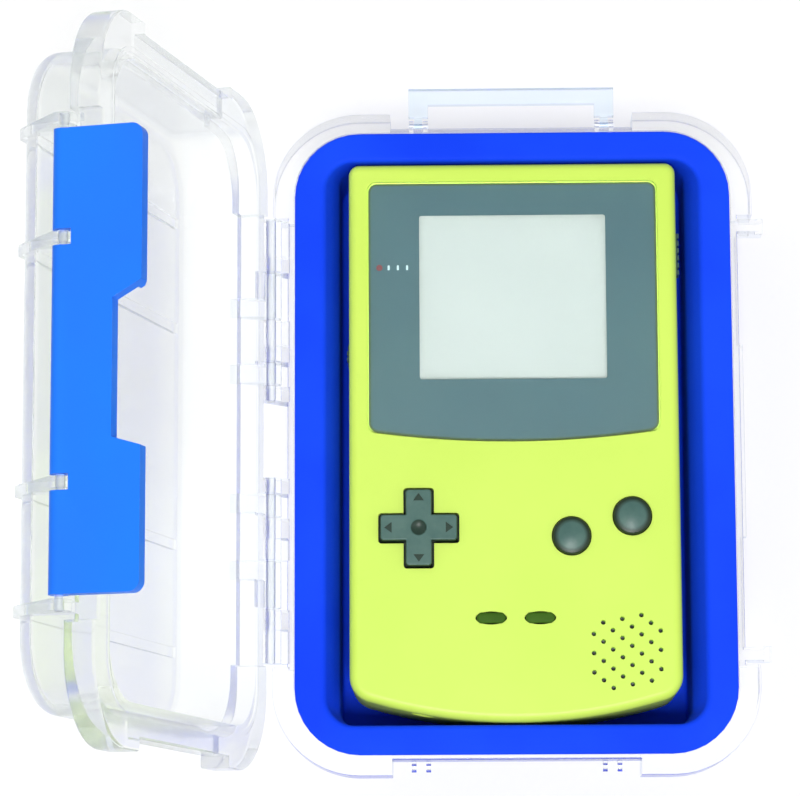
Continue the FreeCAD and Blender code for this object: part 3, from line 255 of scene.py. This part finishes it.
def rounded_outline(half_x, low_y, high_y, corner, bow=0.0, per_side=24, per_corner=10):
    """Closed outline, counter-clockwise: four straight sides and four quarter circles.

    A corner point is its circle's centre plus the radius times (cos, sin) of an even run of angles, and a
    side is an even run between two corners. The low side sags by bow times one minus the square of x over
    half_x.
    """
    centres = np.array([
        (half_x - corner, high_y - corner),
        (-half_x + corner, high_y - corner),
        (-half_x + corner, low_y + bow + corner),
        (half_x - corner, low_y + bow + corner),
    ])
    turn = np.arange(4)[:, None] * math.pi / 2 + np.linspace(0, math.pi / 2, per_corner)[None, :]
    arcs = centres[:, None, :] + corner * np.stack([np.cos(turn), np.sin(turn)], axis=-1)
    run = np.linspace(0, 1, per_side + 2)[1:-1, None]
    starts = arcs[:, -1, None, :]
    ends = np.roll(arcs[:, 0, :], -1, axis=0)[:, None, :]
    sides = starts * (1 - run) + ends * run
    outline = np.concatenate([arcs, sides], axis=1).reshape(-1, 2)
    lower = outline[:, 1] < (low_y + high_y) / 2
    sag = bow * (1 - (outline[:, 0] / half_x) ** 2)
    near_low = np.clip((low_y + bow + corner - outline[:, 1]) / corner, 0, 1)
    outline[:, 1] -= np.where(lower, sag * near_low, 0)
    return outline


def oval_outline(half_x, half_y, steps=48):
    """Oval, counter-clockwise: a circle of radius half_y whose two halves are moved apart along x."""
    turn = (np.arange(steps) + 0.5) * 2 * math.pi / steps
    x = (half_x - half_y) * np.sign(np.cos(turn)) + half_y * np.cos(turn)
    return np.column_stack([x, half_y * np.sin(turn)])


def lay_under_lens(piece, finish):
    """Let a piece under the screen lens ride with the game, with a finish of its own."""
    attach(piece, "game")
    piece.data.materials.append(finish)


def flat_ring(name, outer, inner, top, thick):
    """Flat ring: a thin rectangle carried round by four rings, the two outlines at two heights."""
    rings = [(outer, top - thick), (outer, top), (inner, top), (inner, top - thick)]
    return mesh_object(name, ring_points(rings), ring_faces(len(rings), len(outer), len(rings)))


def make_lens_print_and_shade():
    """Dark painted shade at the lens's edge; prints of the window's frame, a lamp window and plain ticks."""
    low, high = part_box("screen_lens")
    half = (high.x - low.x) / 2

    def lens_outline(inset):
        return rounded_outline(half - inset, low.y + inset, high.y - inset, LENS_CORNER - inset, LENS_BOW)

    def mark(name, outline, finish):
        lay_under_lens(lofted(name, [(outline, mark_top - MARK_THICK), (outline, mark_top)]), finish)

    gap_shade = lens_outline(PRINT_INSET)
    frame_edge = lens_outline(PRINT_INSET + GAP_SHADE_WIDTH)
    window = rounded_outline(half - WINDOW_SIDE, low.y + WINDOW_LOW, high.y - WINDOW_TOP, WINDOW_CORNER)
    top = low.z - PRINT_LIFT
    # Dark band of painted shade along the lens's edge, for the gap round the lens; then the print round the
    # window
    lay_under_lens(flat_ring("lens_gap_shade", gap_shade, frame_edge, top, PRINT_THICK), lens_gap_shade_finish)
    lay_under_lens(flat_ring("lens_print", frame_edge, window, top, PRINT_THICK), lens_print_finish)
    lamp = middle(*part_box("power_lamp"))
    mark_top = low.z - MARK_LIFT
    mark("lamp_window", oval_outline(LAMP_WINDOW, LAMP_WINDOW, SPOT_STEPS) + lamp, finishes["lamp_red"])
    tick = rounded_outline(TICK_SIZE[0] / 2, -TICK_SIZE[1] / 2, TICK_SIZE[1] / 2, TICK_CORNER)
    for count in range(1, TICKS + 1):
        mark(f"lens_tick_{count}", tick + lamp + (count * TICK_STEP, 0), lens_tick_finish)


def make_tray():
    """Soft tray: a loft of rounded rectangles up the outside, over the flange and down the sloping mouth.

    A rounded edge is a quarter circle of insets and heights. The lip and the foot of the slope are curves
    through three outlines: (1 - u) squared of the first, 2 u (1 - u) of the middle one and u squared of the
    last.
    """
    low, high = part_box("liner")

    def outline(size, inset=0.0):
        half_x, half_y, corner = size
        return rounded_outline(half_x - inset, inset - half_y, half_y - inset, corner - inset)

    def bent(first, middle_one, last):
        mix = np.linspace(0, 1, BEND_STEPS)
        shares = np.column_stack([(1 - mix) ** 2, 2 * mix * (1 - mix), mix ** 2])
        outlines = np.stack([first[0], middle_one[0], last[0]])
        heights = shares @ np.array([first[1], middle_one[1], last[1]])
        return list(zip(np.tensordot(shares, outlines, axes=1), heights))

    top = high.z
    under = top - TRAY_FLANGE_THICK
    floor = low.z + TRAY_FLOOR_THICK
    foot_z = top - TRAY_LEAD_DEPTH
    mouth = outline(TRAY_MOUTH)
    foot = outline(TRAY_FOOT)

    def slope(depth):
        share = depth / TRAY_LEAD_DEPTH
        return mouth * (1 - share) + foot * share, top - depth

    rings = []
    for inset, rise in reversed(quarter_round(TRAY_BOTTOM_ROUND, TRAY_BOTTOM_ROUND)):
        rings.append((outline(TRAY_BODY, inset), low.z + rise))
    rings.append((outline(TRAY_BODY), under))
    for inset, rise in reversed(quarter_round(TRAY_EDGE_ROUND, TRAY_EDGE_ROUND)):
        rings.append((outline(TRAY_FLANGE, inset), under + rise))
    for inset, drop in quarter_round(TRAY_EDGE_ROUND, TRAY_EDGE_ROUND):
        rings.append((outline(TRAY_FLANGE, inset), top - drop))
    rings += bent((outline(TRAY_MOUTH, -TRAY_LIP_ROUND), top), (mouth, top), slope(TRAY_LIP_ROUND))
    foot_start = slope(TRAY_LEAD_DEPTH - TRAY_LIP_ROUND)
    rings += bent(foot_start, (foot, foot_z), (foot, foot_z - TRAY_LIP_ROUND))
    for inset, rise in quarter_round(TRAY_FOOT_ROUND, TRAY_FOOT_ROUND):
        rings.append((outline(TRAY_FOOT, inset), floor + rise))
    stand_for(lofted("tray", rings), "liner")


def make_soft_copy(node, name, width, finish=None):
    """Copy of a node's solid, its points merged and flat faces rejoined, whose sharp edges a bevel rounds."""
    work = bmesh.new()
    work.from_mesh(nodes[node].data)
    bmesh.ops.remove_doubles(work, verts=work.verts, dist=MERGE)
    bmesh.ops.dissolve_limit(work, angle_limit=FLAT_ANGLE, verts=work.verts, edges=work.edges)
    mesh = bpy.data.meshes.new(name)
    work.to_mesh(mesh)
    work.free()
    shade_round(mesh)
    piece = show_mesh(name, mesh)
    bevel = piece.modifiers.new("rounded edges", "BEVEL")
    bevel.width = width
    bevel.segments = BEVEL_STEPS
    bevel.limit_method = "ANGLE"
    bevel.angle_limit = SHARP_ANGLE
    bevel.harden_normals = True
    stand_for(piece, node, finish)


def mark_shade_ring(piece, rings, wall_rings):
    """Painted shade attribute of points: 1 on the flange's and wall's rings, falling to 0 towards the top."""
    along = np.arange(len(rings))
    share = np.clip((wall_rings + RIM_FADE - along) / RIM_FADE, 0, 1)
    rim_shade = piece.data.attributes.new("rim_shade", "FLOAT", "POINT")
    rim_shade.data.foreach_set("value", np.repeat(share, len(rings[0][0])))


def make_round_button(node):
    """Round button: circles up a flange and a straight wall, over a rounded edge, then in on a crown.

    The crown's height falls from the middle with the square of the distance to it.
    """
    low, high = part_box(node)
    centre = middle(low, high)
    flange = (high.x - low.x) / 2
    radius = flange - BUTTON_FLANGE
    plate = low.z + FLANGE_PLATE

    def circle(size):
        return oval_outline(size, size, CIRCLE_STEPS) + centre

    rings = [(circle(flange), low.z), (circle(flange), plate), (circle(radius), plate)]
    edge_z = high.z - BUTTON_CROWN
    for inset, drop in quarter_round(BUTTON_EDGE, BUTTON_EDGE):
        rings.append((circle(radius - inset), edge_z - drop))
    wall_rings = len(rings) - 1
    flat = radius - BUTTON_EDGE
    for share in CROWN_SHARES:
        rings.append((circle(flat * share), edge_z + BUTTON_CROWN * (1 - share ** 2)))
    piece = lofted(node + "_cap", rings)
    mark_shade_ring(piece, rings, wall_rings)
    stand_for(piece, node)


def make_rubber_key(node):
    """Oval rubber key: ovals up a flange and a straight wall, then in over a dome, a quarter ellipse."""
    low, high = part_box(node)
    centre = middle(low, high)
    half_x = (high.x - low.x) / 2
    half_y = (high.y - low.y) / 2
    plate = low.z + FLANGE_PLATE

    def oval(inset):
        return oval_outline(half_x - inset, half_y - inset) + centre

    rings = [(oval(0), low.z), (oval(0), plate), (oval(KEY_FLANGE), plate)]
    for inset, drop in quarter_round(KEY_DOME_SIDE, KEY_DOME, DOME_STEPS):
        rings.append((oval(KEY_FLANGE + inset), high.z - drop))
    piece = lofted(node + "_cap", rings)
    mark_shade_ring(piece, rings, KEY_WALL_RINGS)
    stand_for(piece, node)


# Shader helpers

def add(tree, kind, **values):
    """New shader node with some of its inputs set by name; an underscore in a name stands for a space."""
    node = tree.nodes.new("ShaderNode" + kind)
    for name, value in values.items():
        node.inputs[name.replace("_", " ")].default_value = value
    return node


def worked_out(tree, operation, first, second):
    """Result of a Math node on a linked value and a second one, which is linked too or a plain number."""
    node = add(tree, "Math")
    node.operation = operation
    tree.links.new(first, node.inputs[0])
    if isinstance(second, float):
        node.inputs[1].default_value = second
    else:
        tree.links.new(second, node.inputs[1])
    return node.outputs["Value"]


def toned(tree, factor, first, second):
    """Colour that goes from a linked first one to a second one, linked or plain, as a linked factor grows."""
    node = add(tree, "Mix")
    node.data_type = "RGBA"
    tree.links.new(factor, node.inputs["Factor"])
    tree.links.new(first, node.inputs["A"])
    if isinstance(second, tuple):
        node.inputs["B"].default_value = (*second, 1)
    else:
        tree.links.new(second, node.inputs["B"])
    return node.outputs["Result"]


def show_blend(tree, factor, first, second, output):
    """Mix two shaders by a linked factor and join them to an output's surface."""
    blend = add(tree, "MixShader")
    for socket, source in zip(blend.inputs, (factor, first, second)):
        tree.links.new(source, socket)
    tree.links.new(blend.outputs["Shader"], output.inputs["Surface"])


def new_group(name, inputs, outputs):
    """Empty shader group with float, colour and vector sockets, and its input and output nodes."""
    kinds = {"value": "NodeSocketFloat", "colour": "NodeSocketColor", "vector": "NodeSocketVector"}
    group = bpy.data.node_groups.new(name, "ShaderNodeTree")
    for socket, kind in inputs:
        group.interface.new_socket(socket, in_out="INPUT", socket_type=kinds[kind])
    for socket, kind in outputs:
        group.interface.new_socket(socket, in_out="OUTPUT", socket_type=kinds[kind])
    return group, group.nodes.new("NodeGroupInput"), group.nodes.new("NodeGroupOutput")


def make_moulded_skin():
    """Group for a moulded surface: two tones in soft clouds, a fine grain in the normal, an uneven polish."""
    group, given, result = new_group(
        "moulded skin",
        [
            ("Colour", "colour"), ("Second Colour", "colour"), ("Cloud Scale", "value"),
            ("Grain Scale", "value"), ("Grain Depth", "value"), ("Smooth", "value"), ("Rough", "value"),
        ],
        [("Colour", "colour"), ("Roughness", "value"), ("Normal", "vector")],
    )
    link = group.links.new
    place = add(group, "TexCoord")
    clouds = add(group, "TexNoise", Detail=3.0, Roughness=0.55)
    link(place.outputs["Object"], clouds.inputs["Vector"])
    link(given.outputs["Cloud Scale"], clouds.inputs["Scale"])
    spread = add(group, "MapRange", From_Min=TONE_SPREAD[0], From_Max=TONE_SPREAD[1])
    link(clouds.outputs["Fac"], spread.inputs["Value"])
    tones = toned(group, spread.outputs["Result"], given.outputs["Colour"], given.outputs["Second Colour"])
    link(tones, result.inputs["Colour"])
    grain = add(group, "TexNoise", Detail=4.0, Roughness=0.6)
    link(place.outputs["Object"], grain.inputs["Vector"])
    link(given.outputs["Grain Scale"], grain.inputs["Scale"])
    bump = add(group, "Bump", Strength=1.0)
    link(grain.outputs["Fac"], bump.inputs["Height"])
    link(given.outputs["Grain Depth"], bump.inputs["Distance"])
    link(bump.outputs["Normal"], result.inputs["Normal"])
    polish = add(group, "MapRange", From_Min=POLISH_SPREAD[0], From_Max=POLISH_SPREAD[1])
    link(grain.outputs["Fac"], polish.inputs["Value"])
    link(given.outputs["Smooth"], polish.inputs["To Min"])
    link(given.outputs["Rough"], polish.inputs["To Max"])
    link(polish.outputs["Result"], result.inputs["Roughness"])
    return group


moulded_skin = make_moulded_skin()


def new_material(name):
    """Material with an empty node tree but for its output."""
    material = bpy.data.materials.new(name)
    material.use_nodes = True
    tree = material.node_tree
    tree.nodes.clear()
    return material, tree, add(tree, "OutputMaterial")


def add_skin(tree, shader, colour, second, cloud, grain, depth, smooth, rough):
    """Give a shader the moulded skin's polish and normal. Returns the skin's colour, to be joined later."""
    skin = add(tree, "Group")
    skin.node_tree = moulded_skin
    values = {
        "Colour": (*colour, 1), "Second Colour": (*second, 1), "Cloud Scale": cloud,
        "Grain Scale": grain, "Grain Depth": depth * MM, "Smooth": smooth, "Rough": rough,
    }
    for socket, value in values.items():
        skin.inputs[socket].default_value = value
    tree.links.new(skin.outputs["Roughness"], shader.inputs["Roughness"])
    tree.links.new(skin.outputs["Normal"], shader.inputs["Normal"])
    return skin.outputs["Colour"]


def painted_shade_mask(tree, top):
    """Where painted shade shows: a piece's own shade attribute or, with a top given, a little below that top.
    """
    if top is None:
        mask = add(tree, "Attribute")
        mask.attribute_name = "rim_shade"
        return mask.outputs["Fac"]
    place = add(tree, "TexCoord")
    height = add(tree, "SeparateXYZ")
    tree.links.new(place.outputs["Object"], height.inputs["Vector"])
    mask = add(tree, "MapRange", From_Min=top - PAD_SHADE_DEPTHS[0], From_Max=top - PAD_SHADE_DEPTHS[1])
    tree.links.new(height.outputs["Z"], mask.inputs["Value"])
    return mask.outputs["Result"]


def moulded(
    name, colour, second, cloud=40.0, grain=1500.0, depth=0.02, smooth=0.4, rough=0.55,
    rim_shade=None, top=None, **sockets,
):
    """Moulded plastic or rubber. Colours are linear, scales are per metre, the grain's depth is millimetres.

    A colour of painted shade takes over where the shade mask shows it. Further sockets of the shader are set
    by name.
    """
    material, tree, output = new_material(name)
    shader = add(tree, "BsdfPrincipled", **sockets)
    tree.links.new(shader.outputs["BSDF"], output.inputs["Surface"])
    tones = add_skin(tree, shader, colour, second, cloud, grain, depth, smooth, rough)
    if rim_shade:
        # Painted shade: the rim colour darkens the skin where the mask shows it
        tones = toned(tree, painted_shade_mask(tree, top), tones, rim_shade)
    tree.links.new(tones, shader.inputs["Base Color"])
    return material


def clear(name, tint, shade, smooth, rough, wave_depth=0.01, index=1.5, edge=None):
    """Clear plastic: a refracting shader with faint flow waves, which lets light through for a pale shadow.

    A share of the glancing light leaves a wall straight on, so that walls pipe less of their neighbours'
    colours from end to end. An edge colour darkens walls seen edge-on: painted shade for the dark lines that
    refraction draws along a clear moulding's edges, beside some real loss of light along thick walls.
    """
    material, tree, output = new_material(name)
    shader = add(tree, "BsdfPrincipled", Transmission_Weight=1.0, IOR=index)
    tones = add_skin(tree, shader, tint, shade, FLOW_TONES, FLOW_WAVES, wave_depth, smooth, rough)
    facing = add(tree, "LayerWeight", Blend=0.5).outputs["Facing"]
    # Painted shade: the edge colour darkens walls seen edge-on
    if edge:
        tones = toned(tree, worked_out(tree, "POWER", facing, EDGE_SHADE_POWER), tones, edge)
    tree.links.new(tones, shader.inputs["Base Color"])
    share = add(tree, "MapRange", From_Min=GLANCING[0], From_Max=GLANCING[1], To_Max=STRAIGHT_OUT)
    tree.links.new(facing, share.inputs["Value"])
    side = add(tree, "NewGeometry")
    leaving = worked_out(tree, "MULTIPLY", side.outputs["Backfacing"], share.outputs["Result"])
    path = add(tree, "LightPath")
    straight = worked_out(tree, "MAXIMUM", path.outputs["Is Shadow Ray"], leaving)
    through = add(tree, "BsdfTransparent", Color=(*shade, 1))
    show_blend(tree, straight, shader.outputs["BSDF"], through.outputs["BSDF"], output)
    return material


def steel(name, colour, second, smooth, rough):
    """Plated steel with fine drawn streaks in its polish."""
    return moulded(
        name, colour, second, cloud=220.0, grain=2600.0, depth=0.006, smooth=smooth, rough=rough,
        Metallic=1.0,
    )


# Finishes, one for each of the record's material slots, then those of single pieces

GREY_TONES = ((0.088, 0.178, 0.15), (0.058, 0.138, 0.12))
GREY_SKIN = {
    "cloud": 220, "grain": 2800, "depth": 0.02, "smooth": 0.3, "rough": 0.46, "Specular_IOR_Level": 0.4,
}
PRINT_SKIN = {"grain": 3000, "depth": 0.004}

finishes = {
    # The edge colours of the clear finishes are painted shade along walls seen edge-on
    "clear_plastic": clear(
        "clear plastic", (0.99, 0.993, 0.988), (0.974, 0.979, 0.972), 0.07, 0.13, index=1.18,
        edge=(0.24, 0.33, 0.56),
    ),
    "natural_nylon": clear("natural nylon", (0.93, 0.95, 0.97), (0.88, 0.9, 0.94), 0.25, 0.4, index=1.53),
    "latch_blue": moulded(
        "latch blue", (0.016, 0.21, 0.98), (0.018, 0.19, 0.94), cloud=30, grain=2200, depth=0.02,
        smooth=0.34, rough=0.46, Specular_IOR_Level=0.1,
    ),
    "liner_blue": moulded(
        "liner blue", (0.008, 0.076, 0.98), (0.005, 0.056, 0.93), cloud=26, grain=2600, depth=0.035,
        smooth=0.52, rough=0.68, Specular_IOR_Level=0.08,
    ),
    "game_shell": moulded(
        "game shell", (0.69, 0.94, 0.13), (0.65, 0.91, 0.112), cloud=24, grain=3200, depth=0.012,
        smooth=0.36, rough=0.5,
    ),
    "lens": clear(
        "lens", (0.97, 0.985, 0.98), (0.95, 0.97, 0.965), 0.02, 0.04, wave_depth=0.002, index=1.49,
    ),
    "display": moulded(
        "display", (0.47, 0.52, 0.5), (0.455, 0.505, 0.485), cloud=60, grain=3600, depth=0.004,
        smooth=0.2, rough=0.3,
    ),
    "light_plastic": moulded("light plastic", (0.78, 0.78, 0.75), (0.72, 0.72, 0.69)),
    "flex_amber": moulded("flex amber", (0.62, 0.33, 0.06), (0.52, 0.26, 0.04), smooth=0.25, rough=0.35),
    # The dark rims of the buttons and keys are painted shade, for the gaps they sit in
    "button_grey": moulded("button grey", *GREY_TONES, rim_shade=(0.012, 0.03, 0.014), **GREY_SKIN),
    "key_rubber": moulded(
        "key rubber", (0.06, 0.16, 0.012), (0.042, 0.12, 0.008), cloud=150, grain=3000, depth=0.03,
        smooth=0.5, rough=0.7, rim_shade=(0.015, 0.04, 0.008), Specular_IOR_Level=0.15,
    ),
    "membrane_rubber": moulded(
        "membrane rubber", (0.34, 0.35, 0.36), (0.28, 0.29, 0.3), smooth=0.55, rough=0.75,
    ),
    "board_green": moulded(
        "board green", (0.02, 0.17, 0.06), (0.03, 0.24, 0.09), cloud=320, smooth=0.25, rough=0.4,
    ),
    "dark_metal": steel("dark metal", (0.09, 0.09, 0.1), (0.06, 0.06, 0.07), 0.35, 0.5),
    "cell_wrap": moulded("cell wrap", (0.09, 0.09, 0.1), (0.07, 0.07, 0.08), smooth=0.2, rough=0.3),
    "contact_steel": steel("contact steel", (0.62, 0.61, 0.58), (0.54, 0.53, 0.51), 0.22, 0.36),
    "cartridge_grey": moulded("cartridge grey", (0.26, 0.26, 0.28), (0.22, 0.22, 0.24)),
    "dark_plastic": moulded(
        "dark plastic", (0.032, 0.032, 0.036), (0.024, 0.024, 0.028), smooth=0.35, rough=0.5,
    ),
    "dark_red": moulded("dark red", (0.05, 0.008, 0.01), (0.035, 0.006, 0.008), smooth=0.08, rough=0.16),
    "lamp_red": moulded("lamp red", (0.2, 0.06, 0.06), (0.16, 0.045, 0.05), smooth=0.12, rough=0.2),
}
# The pad's own finish paints shade below its top, in its sunk marks and down its sides
pad_finish = moulded(
    "pad grey", *GREY_TONES, rim_shade=(0.018, 0.045, 0.03), top=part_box("d_pad")[1].z, **GREY_SKIN,
)
# Clear finishes of the lid and the bail, with lighter and darker painted edge shade
lid_finish = clear(
    "clear lid", (0.955, 0.966, 0.958), (0.93, 0.944, 0.935), 0.1, 0.17, index=1.18,
    edge=(0.56, 0.61, 0.7),
)
bail_finish = clear(
    "clear bail", (0.9, 0.955, 0.99), (0.85, 0.925, 0.98), 0.07, 0.13, index=1.18,
    edge=(0.12, 0.2, 0.45),
)
lens_print_finish = moulded(
    "lens print", (0.042, 0.112, 0.124), (0.036, 0.102, 0.12), cloud=30, smooth=0.35, rough=0.45,
    **PRINT_SKIN,
)
# Dark olive of the band of painted shade along the lens's edge, for the gap round the lens
lens_gap_shade_finish = moulded(
    "lens gap shade", (0.045, 0.095, 0.012), (0.035, 0.08, 0.01), cloud=90, smooth=0.4, rough=0.5,
    **PRINT_SKIN,
)
lens_tick_finish = moulded(
    "lens tick", (0.55, 0.7, 0.7), (0.48, 0.64, 0.66), cloud=300, smooth=0.4, rough=0.5, **PRINT_SKIN,
)


def dress_nodes():
    """Every CAD node gets the finish of its material slot, but the lid and the pad have their own."""
    own = {"lid_shell": lid_finish, "d_pad": pad_finish}
    for part in frame["record"]["subparts"]:
        data = nodes[part["node"]].data
        data.materials.clear()
        data.materials.append(own.get(part["node"], finishes[part["material_slot"]]))


# Studio

def make_floor():
    """Pale floor under the base. To the eye and in clear pieces it is white, with the object's shadow."""
    corners = FLOOR_HALF * np.array([(-1, -1), (1, -1), (1, 1), (-1, 1)])
    points = np.column_stack([corners, np.full(4, -FLOOR_DROP)])
    floor = mesh_object("floor", points, [[0, 1, 2, 3]])
    material, tree, output = new_material("pale floor")
    matt = add(tree, "BsdfDiffuse", Color=FLOOR_COLOUR)
    shaded = add(tree, "BsdfDiffuse", Color=SHADED_COLOUR)
    glow = add(tree, "Emission", Color=WHITE, Strength=FLOOR_GLOW)
    seen = add(tree, "AddShader")
    tree.links.new(shaded.outputs["BSDF"], seen.inputs[0])
    tree.links.new(glow.outputs["Emission"], seen.inputs[1])
    path = add(tree, "LightPath")
    looks = worked_out(tree, "MAXIMUM", path.outputs["Is Camera Ray"], path.outputs["Is Glossy Ray"])
    looks = worked_out(tree, "MAXIMUM", looks, path.outputs["Is Transmission Ray"])
    show_blend(tree, looks, matt.outputs["BSDF"], seen.outputs["Shader"], output)
    floor.data.materials.append(material)


def make_world():
    """Studio room: a wide pale ceiling lights the pocket, and grey walls draw the clear pieces' edges."""
    world = bpy.data.worlds.new("studio")
    scene.world = world
    world.use_nodes = True
    tree = world.node_tree
    tree.nodes.clear()
    output = add(tree, "OutputWorld")
    place = add(tree, "TexCoord")
    split = add(tree, "SeparateXYZ")
    tree.links.new(place.outputs["Generated"], split.inputs["Vector"])
    ramp = add(tree, "ValToRGB")
    low, high = ramp.color_ramp.elements
    low.position = 0.0
    low.color = WALL_COLOUR
    high.position = CEILING_START
    high.color = CEILING_COLOUR
    tree.links.new(split.outputs["Z"], ramp.inputs["Fac"])
    room = add(tree, "Background", Strength=ROOM_STRENGTH)
    tree.links.new(ramp.outputs["Color"], room.inputs["Color"])
    white = add(tree, "Background", Color=WHITE, Strength=1.0)
    path = add(tree, "LightPath")
    camera_ray = path.outputs["Is Camera Ray"]
    show_blend(tree, camera_ray, room.outputs["Background"], white.outputs["Background"], output)


def add_softbox(name, place, size, power):
    """Square area lamp that faces LAMP_AIM."""
    lamp = bpy.data.lights.new(name, "AREA")
    lamp.shape = "SQUARE"
    lamp.size = size
    lamp.energy = power
    box = bpy.data.objects.new(name, lamp)
    scene.collection.objects.link(box)
    toward = Vector(LAMP_AIM) - Vector(place)
    box.matrix_world = Matrix.Translation(place) @ toward.to_track_quat("-Z", "Y").to_matrix().to_4x4()


def make_camera():
    """Camera at the photo's place: yaw turns it about Y, pitch tips it about X, roll turns the picture."""
    camera = bpy.data.objects.new("camera", bpy.data.cameras.new("camera"))
    scene.collection.objects.link(camera)
    scene.camera = camera
    ahead = Vector((
        math.sin(CAMERA_YAW) * math.cos(CAMERA_PITCH),
        math.sin(CAMERA_PITCH),
        -math.cos(CAMERA_YAW) * math.cos(CAMERA_PITCH),
    ))
    right = ahead.cross(Vector((0, 1, 0))).normalized()
    above = right.cross(ahead)
    turned_right = right * math.cos(CAMERA_ROLL) + above * math.sin(CAMERA_ROLL)
    turned_above = above * math.cos(CAMERA_ROLL) - right * math.sin(CAMERA_ROLL)
    turn = Matrix((turned_right, turned_above, -ahead)).transposed().to_4x4()
    camera.matrix_world = Matrix.Translation(CAMERA_PLACE) @ turn
    camera.data.sensor_width = SENSOR_WIDTH
    camera.data.lens = CAMERA_FOCAL_PIXELS * SENSOR_WIDTH / PICTURE_WIDTH
    camera.data.clip_end = CAMERA_REACH


dress_nodes()
make_tray()
make_soft_copy("latch", "latch_lever", LATCH_ROUND)
make_soft_copy("bail_handle", "bail_loop", BAIL_ROUND, bail_finish)
make_lens_print_and_shade()
for node in ("a_button", "b_button"):
    make_round_button(node)
for node in ("start_button", "select_button"):
    make_rubber_key(node)
make_floor()
make_world()
for lamp in LAMPS:
    add_softbox(*lamp)
make_camera()
scene.view_settings.view_transform = "Standard"
scene.cycles.max_bounces = CLEAR_BOUNCES
scene.cycles.diffuse_bounces = CLEAR_BOUNCES
scene.cycles.glossy_bounces = CLEAR_BOUNCES
scene.cycles.transmission_bounces = CLEAR_BOUNCES
scene.cycles.transparent_max_bounces = CLEAR_BOUNCES
